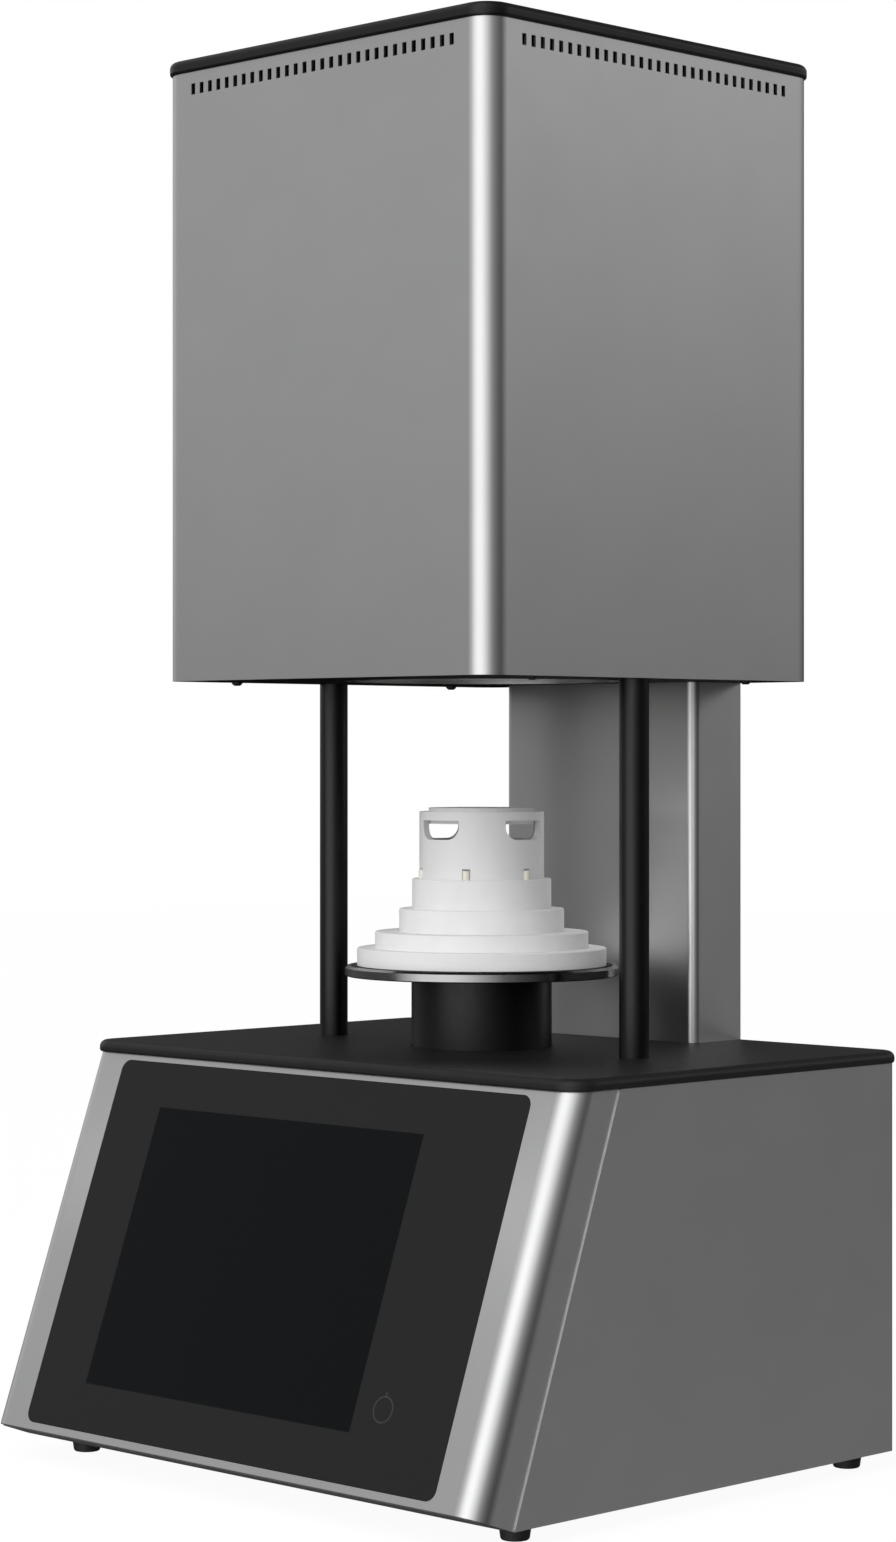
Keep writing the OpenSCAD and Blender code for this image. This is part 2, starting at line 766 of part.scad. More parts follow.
module glass_panel() {
    color("#2b2b2b") placed() on_front() window_cut(0, glass_t, 0);
}

module display_frame() {
    side_w = frame_lip - glass_gap;
    color("darkgray") placed() on_front() {
        difference() {
            translate([-glass_w / 2 - frame_lip, glass_t, window_z - glass_h / 2])
                cube([glass_w + 2 * frame_lip, frame_t, glass_h]);
            translate([screen_x - module_w / 2 - nest_gap, glass_t - 1, screen_z - module_h / 2 - nest_gap])
                cube([module_w + 2 * nest_gap, frame_t + 2, module_h + 2 * nest_gap]);
        }
        both_sides() translate([glass_w / 2 + glass_gap, sheet_t, window_z - glass_h / 2])
            cube([side_w, glass_t - sheet_t + eps, glass_h]);
    }
}

module_w = screen_w + 2 * screen_rim;
module_h = screen_h + 2 * screen_rim;

module display_module() {
    color("#181a1c") placed() on_front() translate([screen_x, 0, screen_z]) {
        translate([-module_w / 2, glass_t, -module_h / 2]) cube([module_w, screen_t, module_h]);
        for (x = [-board_w / 2 + 8, board_w / 2 - 8], z = [-board_h / 2 + 8, board_h / 2 - 8])
            translate([x, board_y, z]) rotate([90, 0, 0]) cylinder(r = 3, h = spacer_h + eps);
    }
}

// Finned heat sink, fins along X
module heat_sink(w, d, h, fins) {
    base_t = 4;
    fin_t = 1.6;
    cube([w, base_t, d]);
    for (i = [0 : fins - 1])
        translate([0, 0, i * (d - fin_t) / (fins - 1)]) cube([w, h, fin_t]);
}

// Parts on the control board
sink_edge = 16;
sink_w = 44;
sink_d = 40;
sink_h = 18;
capacitor_x = 8;
capacitor_z = 30;
capacitor_pitch = 15;
capacitor_r = 5.5;
capacitor_h = 16;
terminal_pitch = 21;
terminal_edge = 2;
terminal_w = 16;
terminal_h = 9;
chip_x = 14;
chip_w = 24;
chip_h = 2.4;

module control_board() {
    color("seagreen") placed() on_front() translate([screen_x, board_y, screen_z]) {
        translate([-board_w / 2, 0, -board_h / 2]) cube([board_w, board_t, board_h]);
        translate([0, board_t - eps, 0]) {
            translate([-board_w / 2 + sink_edge, 0, -sink_d / 2]) heat_sink(sink_w, sink_d, sink_h, 8);
            for (i = [0 : 3]) translate([capacitor_x + i * capacitor_pitch, 0, capacitor_z])
                rotate([-90, 0, 0]) cylinder(r = capacitor_r, h = capacitor_h);
            for (i = [-3 : 2]) translate([i * terminal_pitch, 0, terminal_edge - board_h / 2])
                cube([terminal_w, terminal_h, terminal_h]);
            translate([chip_x, 0, -chip_w]) cube([chip_w, chip_h, chip_w]);
        }
    }
}

// Rear connections and fan

rocker_w = 15;
rocker_h = 19;
rocker_gap = 0.5;
rocker_pin_r = 1.5;
rocker_z = 22;
fuse_w = 24;
fuse_h = 9;
fuse_z = 3;
socket_w = 25;
socket_h = 18;
socket_mid = -22;
socket_depth = 15;
module_depth = 22;

module mains_module() {
    body_w = inlet_w - 7;
    body_h = inlet_h - 7;
    pocket_h = rocker_h + 2.6;
    color("#151515") placed() on_rear(inlet_x, inlet_z) difference() {
        union() {
            difference() {
                union() {
                    rotate([-90, 0, 0]) linear_extrude(inlet_t) rounded_square(inlet_w, inlet_h, 3);
                    translate([-body_w / 2, -module_depth, -body_h / 2])
                        cube([body_w, module_depth + eps, body_h]);
                }
                translate([-socket_w / 2, -socket_depth, socket_mid - socket_h / 2])
                    cube([socket_w, socket_depth + inlet_t + 1, socket_h]);
            }
            for (p = [[-7, 2], [0, -2], [7, 2]])
                translate([p[0] - 1, -socket_depth - eps, socket_mid + p[1] - 2]) cube([2, 12, 4]);
        }
        translate([-fuse_w / 2 - nest_gap, -16, fuse_z - fuse_h / 2 - nest_gap])
            cube([fuse_w + 2 * nest_gap, 20 + inlet_t, fuse_h + 2 * nest_gap]);
        translate([-rocker_w / 2 - rocker_gap, -9, rocker_z - pocket_h / 2])
            cube([rocker_w + 2 * rocker_gap, 12 + inlet_t, pocket_h]);
        translate([0, inlet_t / 2 - 2, rocker_z]) rotate([0, 90, 0])
            cylinder(r = rocker_pin_r + run_fit, h = rocker_w + 6, center = true);
    }
}

module fuse_drawer() {
    color("#202020") placed() on_rear(inlet_x, inlet_z) translate([0, 0, fuse_z]) {
        translate([-fuse_w / 2, -16, -fuse_h / 2]) cube([fuse_w, 16 + inlet_t, fuse_h]);
        translate([-4, inlet_t - eps, -1.2]) cube([8, 1.2, 2.4]);
    }
}

// Rocker at its off position, tilted about its own pin
module mains_rocker() {
    half = rocker_h / 2;
    color("black") placed() on_rear(inlet_x, inlet_z) translate([0, inlet_t / 2 - 2, rocker_z])
        rotate([-rocker_tilt, 0, 0]) {
            rotate([90, 0, 90]) translate([0, 0, -rocker_w / 2]) linear_extrude(rocker_w)
                polygon([[-4, -4], [0.5, -half], [3.4, -half], [2.6, 0], [3.4, half], [0.5, half], [-4, 4]]);
            rotate([0, 90, 0]) cylinder(r = rocker_pin_r, h = rocker_w + 5, center = true);
        }
}

lan_w = 16;
lan_h = 13.6;
data_w = 14.6;
data_h = 7.4;
socket_len = 18;

module network_socket() {
    color("lightgray") placed() on_rear(lan_x, socket_z) {
        difference() {
            translate([-lan_w / 2, -socket_len, -lan_h / 2]) cube([lan_w, socket_len + 0.8, lan_h]);
            translate([-5.9, -13, -3.4]) cube([11.8, 15, 8.2]);
            translate([-3, -13, -5.4]) cube([6, 15, 3]);
        }
        translate([-lan_w / 2 - 4, -sheet_t - 1.2, -lan_h / 2 - 3]) difference() {
            cube([lan_w + 8, 1.2, lan_h + 6]);
            translate([4 + eps, -1, 3 + eps]) cube([lan_w - 2 * eps, 4, lan_h - 2 * eps]);
        }
    }
}

module data_socket() {
    color("lightgray") placed() on_rear(data_x, socket_z) {
        difference() {
            translate([-data_w / 2, -socket_len, -data_h / 2]) cube([data_w, socket_len + 0.8, data_h]);
            translate([-6.3, -12, -2.6]) cube([12.6, 14, 5.2]);
        }
        translate([-5.5, -12 - eps, 0.1]) cube([11, 11, 1.9]);
        translate([-data_w / 2 - 4, -sheet_t - 1.2, -data_h / 2 - 3]) difference() {
            cube([data_w + 8, 1.2, data_h + 6]);
            translate([4 + eps, -1, 3 + eps]) cube([data_w - 2 * eps, 4, data_h - 2 * eps]);
        }
    }
}

fan_duct_r = fan_w / 2 - 1.8;
fan_hub_r = 14;
fan_pin_r = 2;

module at_fan() {
    placed() on_rear(fan_x, fan_z) translate([0, -sheet_t - fan_t, 0]) rotate([-90, 0, 0]) children();
}

module fan_frame() {
    boss_h = 4;
    color("#1a1a1a") at_fan() {
        difference() {
            linear_extrude(fan_t) rounded_square(fan_w, fan_w, 3);
            translate([0, 0, -1]) cylinder(r = fan_duct_r, h = fan_t + 2);
            for (a = [45 : 90 : 315])
                rotate([0, 0, a]) translate([fan_screw_out, 0, -1]) cylinder(r = 1.7, h = fan_t + 2);
        }
        ring(fan_hub_r, fan_pin_r + run_fit, boss_h);
        for (a = [0 : 120 : 240])
            rotate([0, 0, a]) translate([fan_hub_r - 0.5, -2, 0]) cube([fan_duct_r - fan_hub_r + 1, 4, 2.5]);
    }
}

module fan_rotor() {
    blade_span = fan_duct_r - fan_hub_r - 0.8;
    color("#222222") at_fan() {
        translate([0, 0, 5]) cylinder(r = fan_hub_r, h = fan_t - 7);
        cylinder(r = fan_pin_r, h = 6);
        for (i = [0 : fan_blades - 1])
            rotate([0, 0, i * 360 / fan_blades]) translate([fan_hub_r - 1, 0, 5 + (fan_t - 7) / 2])
                rotate([38, 0, 0]) translate([0, -7, -0.7]) cube([blade_span, 14, 1.4]);
    }
}

guard_t = 1.8;

module fan_guard() {
    color("silver") placed() on_rear(fan_x, fan_z) rotate([-90, 0, 0]) {
        for (r = [7, 14, 21, 28]) ring(r + guard_t, r, guard_t);
        for (a = [45 : 90 : 315]) rotate([0, 0, a]) {
            translate([8, -guard_t / 2, 0]) cube([fan_screw_out - 11, guard_t, guard_t]);
            translate([fan_screw_out, 0, 0]) ring(3.6, screw_shank_r + screw_hole_gap, guard_t);
        }
    }
}

fan_screw_out = (fan_w / 2 - 5) * sqrt(2);
toroid_side = 63.5;
toroid_y = 52;
toroid_r = 44;
toroid_in = 12;
toroid_h = 42;
toroid_bevel = 7;
toroid_washer_r = 32;
toroid_washer_t = 2;
toroid_bolt_r = 4;
toroid_nut_r = 7;
toroid_nut_h = 5;

module transformer() {
    bolt_top = toroid_h + toroid_washer_t + toroid_nut_h + 1;
    color("#b08d3c") placed() translate([base_w / 2 - toroid_side, toroid_y, tray_top]) {
        rotate_extrude() polygon([
            [toroid_in, 0], [toroid_r - toroid_bevel, 0], [toroid_r, toroid_bevel],
            [toroid_r, toroid_h - toroid_bevel], [toroid_r - toroid_bevel, toroid_h],
            [toroid_in, toroid_h]
        ]);
        cylinder(r = toroid_bolt_r, h = bolt_top);
        translate([0, 0, toroid_h]) cylinder(r = toroid_washer_r, h = toroid_washer_t);
        translate([0, 0, toroid_h + toroid_washer_t - eps])
            cylinder(r = toroid_nut_r, h = toroid_nut_h, $fn = 6);
    }
}

// Lift drive

module guide_bush() {
    color("gray") placed() difference() {
        union() {
            translate([0, 0, deck_z - bush_flange_t]) linear_extrude(bush_flange_t)
                rounded_square(carriage_w, bush_flange_d, 10);
            translate([0, 0, deck_z - bush_h]) cylinder(r = bush_r, h = bush_h);
        }
        translate([0, 0, deck_z - bush_h - 1]) cylinder(r = pedestal_r + run_fit, h = bush_h + 2);
        both_sides() translate([rod_x, 0, deck_z - bush_h]) cylinder(r = rod_r + seat_fit, h = bush_h + 1);
    }
}

module guide_rods() {
    color("lightgray") placed() both_sides() translate([rod_x, 0, tray_top])
        cylinder(r = rod_r, h = deck_z - tray_top);
}

module carriage() {
    color("darkgray") placed() translate([0, 0, carriage_z]) difference() {
        linear_extrude(carriage_t) union() {
            rounded_square(carriage_w, carriage_d, 8);
            circle(pedestal_r);
        }
        translate([0, 0, -1]) cylinder(r = nut_r + seat_fit, h = carriage_t + 2);
        both_sides() translate([rod_x, 0, -1]) cylinder(r = bearing_r + seat_fit, h = carriage_t + 2);
    }
}

module linear_bearings() {
    color("silver") placed() both_sides() translate([rod_x, 0, carriage_z])
        ring(bearing_r, rod_r + run_fit, bearing_l);
}

module lift_nut() {
    color("#b5893a") placed() difference() {
        union() {
            translate([0, 0, carriage_z]) cylinder(r = nut_r, h = carriage_t + nut_l);
            translate([0, 0, tube_z]) cylinder(r = nut_flange_r, h = nut_flange_t);
        }
        translate([0, 0, carriage_z - 1]) cylinder(r = screw_r + run_fit, h = carriage_t + nut_l + 2);
    }
}

bearing_body_r = 16;
bearing_flange_w = 46;
bearing_flange_d = 34;
bearing_flange_t = 3;

module screw_bearing() {
    color("gray") placed() translate([0, 0, tray_top]) difference() {
        union() {
            cylinder(r = bearing_body_r, h = journal_h);
            linear_extrude(bearing_flange_t) rounded_square(bearing_flange_w, bearing_flange_d, 6);
        }
        translate([0, 0, 1]) cylinder(r = journal_r + run_fit, h = journal_h);
    }
}

module lead_screw() {
    color("lightgray") placed() {
        translate([0, 0, tray_top + 1.3]) cylinder(r = journal_r, h = pulley_z - tray_top);
        translate([0, 0, pulley_z]) cylinder(r = screw_r, h = screw_top - pulley_z - 1.5);
        translate([0, 0, screw_top - 1.5 - eps]) cylinder(r1 = screw_r, r2 = screw_r - 1.5, h = 1.5);
    }
}

module pulley(bore_r) {
    flange_r = pulley_r + pulley_flange_w;
    difference() {
        union() {
            cylinder(r = pulley_r, h = pulley_full_h);
            cylinder(r = flange_r, h = pulley_flange_t);
            translate([0, 0, pulley_full_h - pulley_flange_t]) cylinder(r = flange_r, h = pulley_flange_t);
        }
        translate([0, 0, -1]) cylinder(r = bore_r, h = pulley_full_h + 2);
    }
}

module screw_pulley() {
    color("darkgray") placed() translate([0, 0, pulley_z]) pulley(screw_r + seat_fit);
}

motor_shaft_r = 4;
motor_shaft_in = 12;

module motor_pulley() {
    color("darkgray") placed() translate([motor_x, motor_y, 0]) {
        translate([0, 0, pulley_z]) pulley(motor_shaft_r - eps);
        translate([0, 0, pulley_z]) cylinder(r = motor_shaft_r, h = motor_z + motor_shaft_in - pulley_z);
    }
}

module belt_loop(r) {
    circle(r);
    translate([belt_len, 0]) circle(r);
    translate([0, -r]) square([belt_len, 2 * r]);
}

module drive_belt() {
    inner_r = pulley_r + run_fit;
    color("#111111") placed()
        translate([0, 0, pulley_z + pulley_flange_t + belt_side_gap]) rotate([0, 0, belt_turn])
            linear_extrude(pulley_h - 2 * belt_side_gap) difference() {
                belt_loop(inner_r + belt_t);
                belt_loop(inner_r);
            }
}

module motor_bracket() {
    leg_x = motor_w / 2 + 1;
    color("lightgray") placed() translate([motor_x, motor_y, 0]) difference() {
        union() {
            translate([-leg_x - bracket_t, -motor_w / 2, bracket_z])
                cube([motor_w + 2 * bracket_t + 2, motor_w, bracket_t]);
            translate([-leg_x - bracket_t, -motor_w / 2, tray_top])
                cube([bracket_t, motor_w, bracket_z + bracket_t - tray_top]);
            translate([leg_x, 8, tray_top]) cube([bracket_t, motor_w / 2 - 8, bracket_z + bracket_t - tray_top]);
            translate([-leg_x - bracket_t - 14, -motor_w / 2, tray_top]) cube([15, motor_w, bracket_t]);
        }
        translate([0, 0, bracket_z - 1]) cylinder(r = 11, h = bracket_t + 2);
    }
}

module lift_motor() {
    cap_h = 9;
    body_h = motor_h - 2 * cap_h;
    color("#2a2a2e") placed() translate([motor_x, motor_y, motor_z]) difference() {
        union() {
            linear_extrude(cap_h) rounded_square(motor_w, motor_w, 5);
            translate([0, 0, cap_h - eps]) linear_extrude(body_h + 2 * eps)
                rounded_square(motor_w - 3, motor_w - 3, 7);
            translate([0, 0, cap_h + body_h]) linear_extrude(cap_h) rounded_square(motor_w, motor_w, 5);
        }
        translate([0, 0, -1]) cylinder(r = motor_shaft_r + run_fit, h = motor_shaft_in + 2);
    }
}

module pedestal_tube() {
    top_t = 8;
    color("#141414") placed() translate([0, 0, tube_z]) difference() {
        cylinder(r = pedestal_r, h = disc_z - tube_z);
        translate([0, 0, -1]) cylinder(r = pedestal_r - pedestal_wall, h = disc_z - tube_z - top_t + 1);
    }
}

module lift_disc() {
    color("#6e6e6e") placed() translate([0, 0, disc_z]) difference() {
        rotate_extrude() polygon([
            [0, 0], [disc_r - disc_under, 0], [disc_r, disc_under],
            [disc_r, disc_t - disc_bevel], [disc_r - disc_bevel, disc_t], [0, disc_t]
        ]);
        translate([0, 0, disc_t - seat_depth])
            ring(tier_1_r + seat_fit + seat_w + seat_fit, tier_1_r + seat_fit, seat_depth + 1);
    }
}

module plug_seat() {
    color("#0c0c0c") placed() translate([0, 0, seat_z - seat_depth])
        ring(tier_1_r + seat_fit + seat_w, tier_1_r + 2 * seat_fit, seat_depth + seat_proud);
}

tier_bevel = 0.5;

module tier(i, z0) {
    h = tier_z[i] - z0;
    rotate_extrude() polygon([
        [0, 0], [tier_r[i], 0], [tier_r[i], h - tier_bevel], [tier_r[i] - tier_bevel, h], [0, h]
    ]);
}

module plug_base() {
    color("white") placed() translate([0, 0, seat_z]) {
        tier(0, 0);
        translate([0, 0, tier_z[0] - eps]) tier(1, tier_z[0] - eps);
    }
}

module at_pins() {
    for (a = [0 : 60 : 300]) rotate([0, 0, a]) translate([crucible_r - pin_inset, 0, 0]) children();
}

module plug_body() {
    color("white") placed() difference() {
        union() {
            translate([0, 0, seat_z + tier_z[1]]) tier(2, tier_z[1]);
            translate([0, 0, seat_z + tier_z[2] - eps]) tier(3, tier_z[2] - eps);
        }
        at_pins() translate([0, 0, plug_z - pin_depth]) cylinder(r = pin_r + seat_fit, h = pin_depth + 1);
    }
}

module centring_pins() {
    color("#e3e0cf") placed() at_pins() translate([0, 0, plug_z - pin_depth])
        cylinder(r = pin_r, h = pin_depth + pin_h);
}

// Notch in the crucible's upper edge: flat sides and round lower corners
module slot_outline() {
    translate([-slot_w / 2, slot_r]) square([slot_w, slot_h + 1]);
    translate([-slot_w / 2 + slot_r, 0]) square([slot_w - 2 * slot_r, slot_h]);
    for (x = [-1, 1]) translate([x * (slot_w / 2 - slot_r), slot_r]) circle(slot_r);
}

module crucible() {
    color("#e8e8e8") placed() translate([0, 0, plug_z]) difference() {
        cylinder(r = crucible_r, h = crucible_h);
        translate([0, 0, crucible_floor]) cylinder(r = crucible_r - crucible_wall, h = crucible_h);
        for (a = [0, 90]) rotate([0, 0, a]) translate([0, crucible_r + 1, crucible_h - slot_h])
            rotate([90, 0, 0]) linear_extrude(2 * crucible_r + 2) slot_outline();
        at_pins() translate([0, 0, -1]) cylinder(r = pin_r + pin_gap, h = pin_h + 2);
    }
}

module crucible_lid() {
    color("#efefef") placed() translate([0, 0, lid_z]) {
        cylinder(r = crucible_r, h = lid_t);
        translate([0, 0, lid_t - eps]) cylinder(r = lid_boss_r, h = lid_boss_h);
        translate([0, 0, -lid_spigot_h])
            cylinder(r = crucible_r - crucible_wall - spigot_gap, h = lid_spigot_h + eps);
    }
}

// Posts and column

module post(x) {
    color("#141414") placed() translate([x, -post_front, table_z])
        ring(post_r, tie_r + tie_gap, work_h);
}

module post_tie_rods() {
    color("gray") placed() both_sides() translate([post_x, -post_front, 0]) {
        translate([0, 0, deck_z - tie_nut_h])
            cylinder(r = tie_r, h = floor_top + tie_nut_h - deck_z + tie_nut_h);
        translate([0, 0, deck_z - tie_nut_h]) cylinder(r = tie_r * 1.9, h = tie_nut_h, $fn = 6);
        translate([0, 0, floor_top]) cylinder(r = tie_r * 1.9, h = tie_nut_h, $fn = 6);
    }
}

module channel_outline(half, front, back, r, wall) {
    difference() {
        union() {
            translate([-half, front + r]) square([2 * half, back - front - r]);
            translate([-half + r, front]) square([2 * (half - r), back - front]);
            for (x = [-1, 1]) translate([x * (half - r), front + r]) circle(r);
        }
        translate([-half + wall, front + max(r, wall)])
            square([2 * (half - wall), back - front - max(r, wall) + 1]);
        translate([-half + max(r, wall), front + wall])
            square([2 * (half - max(r, wall)), back - front]);
        if (r > wall)
            for (x = [-1, 1]) translate([x * (half - r), front + r]) circle(r - wall);
    }
}

module column_cover() {
    color("silver") placed() translate([0, 0, table_z]) linear_extrude(work_h)
        channel_outline(col_w / 2, col_front, col_back_y - sheet_t, col_bend_r, sheet_t);
}

module column_back() {
    low_z = deck_z - back_drop;
    flange_d = col_back_y - base_back;
    color("silver") placed() difference() {
        union() {
            translate([-col_w / 2, col_back_y - sheet_t, low_z])
                cube([col_w, sheet_t, house_z - low_z]);
            both_sides() translate([col_w / 2 - sheet_t, base_back, low_z])
                cube([sheet_t, flange_d, back_drop - 2]);
            translate([-col_w / 2, base_back, low_z]) cube([col_w, flange_d, sheet_t]);
            both_sides() translate([col_w / 2 - 14, base_back, low_z]) cube([14, sheet_t, back_drop - 2]);
        }
        at_column_screws() screw_hole();
    }
}

frame_hole_r = 12;
frame_hole_pitch = 40;

module column_frame() {
    half = col_frame_half;
    top = house_z + col_frame_rise;
    color("gray") placed() difference() {
        translate([0, 0, tray_top]) linear_extrude(top - tray_top)
            channel_outline(half, col_frame_y, col_frame_y + col_frame_d, col_frame_t + 1, col_frame_t);
        for (i = [0 : 3])
            translate([0, col_frame_y + col_frame_t + 1, house_z + (i + 1) * frame_hole_pitch])
                rotate([90, 0, 0]) cylinder(r = frame_hole_r, h = col_frame_t + 4);
    }
}

// Housing

module house_outline(inset) {
    translate([0, house_mid]) rounded_square(house_w - 2 * inset, house_d - 2 * inset, house_r - inset);
}

module vents() {
    for (i = [0 : vents_front - 1])
        translate([(i - (vents_front - 1) / 2) * vent_pitch - vent_w / 2, -house_front - 1, vent_z])
            cube([vent_w, house_d + 2, vent_h]);
    for (i = [0 : vents_side - 1])
        translate([-house_w / 2 - 1, house_mid + (i - (vents_side - 1) / 2) * vent_pitch - vent_w / 2, vent_z])
            cube([house_w + 2, vent_w, vent_h]);
}

module housing_shell() {
    flange_in = sheet_t + house_flange_w;
    color("silver") placed() difference() {
        union() {
            translate([0, 0, house_z]) linear_extrude(house_h) difference() {
                house_outline(0);
                house_outline(sheet_t);
            }
            translate([0, 0, floor_top]) linear_extrude(sheet_t) difference() {
                house_outline(sheet_t / 2);
                translate([0, house_mid])
                    square([house_w - 2 * flange_in, house_d - 2 * flange_in], center = true);
            }
        }
        vents();
        at_floor_screws() screw_hole();
        both_sides() translate([post_x, -post_front, floor_top - 1])
            cylinder(r = tie_r * 1.9 + 0.6, h = sheet_t + 2);
        translate([-col_frame_half - 1, col_frame_y - 1, floor_top - 1])
            cube([2 * col_frame_half + 2, col_frame_d + 2, sheet_t + 2]);
    }
}

module housing_cap() {
    rib_in = sheet_t + nest_gap;
    color("#1c1c1c") placed() {
        translate([0, house_mid, cap_z])
            soft_slab(house_w + 2 * cap_lip, house_d + 2 * cap_lip, cap_t, house_r + cap_lip,
                cap_under_r, cap_edge_r);
        translate([0, 0, cap_z - cap_rib_h]) linear_extrude(cap_rib_h + eps) difference() {
            house_outline(rib_in);
            house_outline(rib_in + cap_rib_t);
        }
    }
}

module housing_floor() {
    color("#1a1a1a") placed() translate([0, 0, house_z]) difference() {
        linear_extrude(floor_t) house_outline(sheet_t + nest_gap);
        translate([0, 0, -1]) cylinder(r = mouth_ring_r + nest_gap, h = floor_t + 2);
        translate([-col_frame_half - 1, col_frame_y - 1, -1])
            cube([2 * col_frame_half + 2, col_frame_d + 2, floor_t + 2]);
        both_sides() translate([post_x, -post_front, -1]) cylinder(r = tie_r + tie_gap, h = floor_t + 2);
        translate([0, 0, -house_z]) at_floor_screws() screw_hole();
    }
}

module mouth_ring() {
    color("#8a8a8a") placed() translate([0, 0, house_z]) ring(mouth_ring_r, mouth_r, floor_t);
}

module mouth_board(i) {
    h = step_z(i) - step_z(i - 1);
    color("#f2f0ea") placed() translate([0, 0, step_z(i - 1)]) difference() {
        translate([-block_w / 2, -block_w / 2, 0]) cube([block_w, block_w, h]);
        translate([0, 0, -1]) cylinder(r = tier_r[i] + plug_gap_r, h = h + 2);
    }
}

module chamber_wall() {
    color("#f5f3ee") placed() translate([0, 0, chamber_z]) difference() {
        translate([-block_w / 2, -block_w / 2, 0]) cube([block_w, block_w, chamber_h]);
        translate([0, 0, -1]) cylinder(r = chamber_r, h = chamber_h + 2);
    }
}

// The two legs of each heating element
module at_legs() {
    for (a = [0 : 90 : 270], y = [-element_bend_r, element_bend_r])
        rotate([0, 0, a]) translate([element_out, y, 0]) children();
}

module chamber_roof() {
    color("#f5f3ee") placed() translate([0, 0, roof_z]) difference() {
        translate([-block_w / 2, -block_w / 2, 0]) cube([block_w, block_w, roof_t]);
        at_legs() translate([0, 0, -1]) cylinder(r = terminal_r + terminal_gap, h = roof_t + 2);
        translate([0, 0, -1]) cylinder(r = sheath_r + terminal_gap, h = roof_t + 2);
    }
}

tab_h = 12;
tab_pitch = 80;

module inner_casing() {
    outer = casing_half + casing_t;
    tab_w = 2 * col_frame_half - 20;
    color("lightgray") placed() {
        translate([0, 0, floor_top]) linear_extrude(roof_top - floor_top) difference() {
            square(2 * outer, center = true);
            square(2 * casing_half, center = true);
        }
        for (i = [1, 2])
            translate([-tab_w / 2, outer - eps, floor_top + i * tab_pitch - tab_h])
                cube([tab_w, col_frame_y - outer + eps, tab_h]);
    }
}

module heating_elements() {
    bend_z = chamber_z + element_rise;
    taper_h = 6;
    color("#4a4a4a") placed() {
        for (a = [0 : 90 : 270]) rotate([0, 0, a]) translate([element_out, 0, bend_z])
            rotate([90, 0, 90]) rotate([0, 0, 180]) rotate_extrude(angle = 180)
                translate([element_bend_r, 0]) circle(element_r);
        at_legs() rotate_extrude() polygon([
            [0, bend_z], [element_r, bend_z], [element_r, roof_z - taper_h], [terminal_r, roof_z],
            [terminal_r, roof_top + terminal_rise], [0, roof_top + terminal_rise]
        ]);
    }
}

clamp_wall = 5;
clamp_d = 18;
clamp_h = 12;

module terminal_clamps() {
    clamp_w = 2 * (element_bend_r + terminal_r + clamp_wall);
    color("#d8d4c8") placed() translate([0, 0, roof_top])
        for (a = [0 : 90 : 270]) rotate([0, 0, a]) difference() {
            translate([element_out - clamp_d / 2, -clamp_w / 2, 0]) cube([clamp_d, clamp_w, clamp_h]);
            for (y = [-element_bend_r, element_bend_r])
                translate([element_out, y, -1]) cylinder(r = terminal_r + seat_fit, h = clamp_h + 2);
        }
}

head_flange_r = 10;
head_flange_h = 5;
head_r = 7;
head_h = 16;

module thermocouple() {
    color("#c9c4b4") placed() {
        translate([0, 0, roof_z - sheath_dip]) cylinder(r = sheath_r, h = roof_t + sheath_dip + eps);
        translate([0, 0, roof_top]) cylinder(r = head_flange_r, h = head_flange_h);
        translate([0, 0, roof_top + head_flange_h - eps]) cylinder(r = head_r, h = head_h);
    }
}

// Small screws

screw_shank_r = 1.5;
screw_shank_l = 5;
screw_head_r = 3.1;
screw_head_h = 2;
screw_hole_gap = 0.2;

module screw_hole() {
    translate([0, 0, -20]) cylinder(r = screw_shank_r + screw_hole_gap, h = 24);
}

module at_column_screws() {
    for (x = [-1, 1], z = [12, back_drop - 24])
        translate([x * (col_w / 2 - 8), base_back + sheet_t, deck_z - back_drop + z])
            rotate([-90, 0, 0]) children();
}

module at_rear_screws() {
    at_column_screws() children();
    on_rear(fan_x, fan_z) for (a = [45 : 90 : 315])
        rotate([0, a, 0]) translate([fan_screw_out, guard_t, 0]) rotate([-90, 0, 0]) children();
}

floor_screw_side = 12;
floor_screw_end = 46;

module at_floor_screws() {
    for (x = [-1, 1], y = [-1, 1])
        translate([x * (house_w / 2 - floor_screw_side), house_mid + y * (house_d / 2 - floor_screw_end), house_z])
            rotate([180, 0, 0]) children();
}

module casing_screws() {
    color("#9a9a9a") placed() {
        at_rear_screws() pan_screw(screw_shank_r, screw_head_r, screw_head_h, screw_shank_l);
        at_floor_screws() pan_screw(screw_shank_r, screw_head_r, screw_head_h, floor_t + sheet_t + 1);
    }
}

base_tray();
base_shell();
front_cover();
top_plate();
feet();
foot_screws();
glass_panel();
display_frame();
display_module();
control_board();
mains_module();
fuse_drawer();
mains_rocker();
network_socket();
data_socket();
fan_frame();
fan_rotor();
fan_guard();
transformer();
guide_bush();
guide_rods();
motor_bracket();
lift_motor();
motor_pulley();
drive_belt();
screw_bearing();
lead_screw();
screw_pulley();
lift_nut();
carriage();
linear_bearings();
pedestal_tube();
lift_disc();
plug_seat();
plug_base();
plug_body();
centring_pins();
crucible();
crucible_lid();
column_frame();
column_cover();
column_back();
post(-post_x);  // post_left
post(post_x);  // post_right
post_tie_rods();
housing_shell();
housing_cap();
housing_floor();
mouth_ring();
mouth_board(0);  // mouth_board_1
mouth_board(1);  // mouth_board_2
mouth_board(2);  // mouth_board_3
mouth_board(3);  // mouth_board_4
chamber_wall();
chamber_roof();
inner_casing();
heating_elements();
terminal_clamps();
thermocouple();
casing_screws();
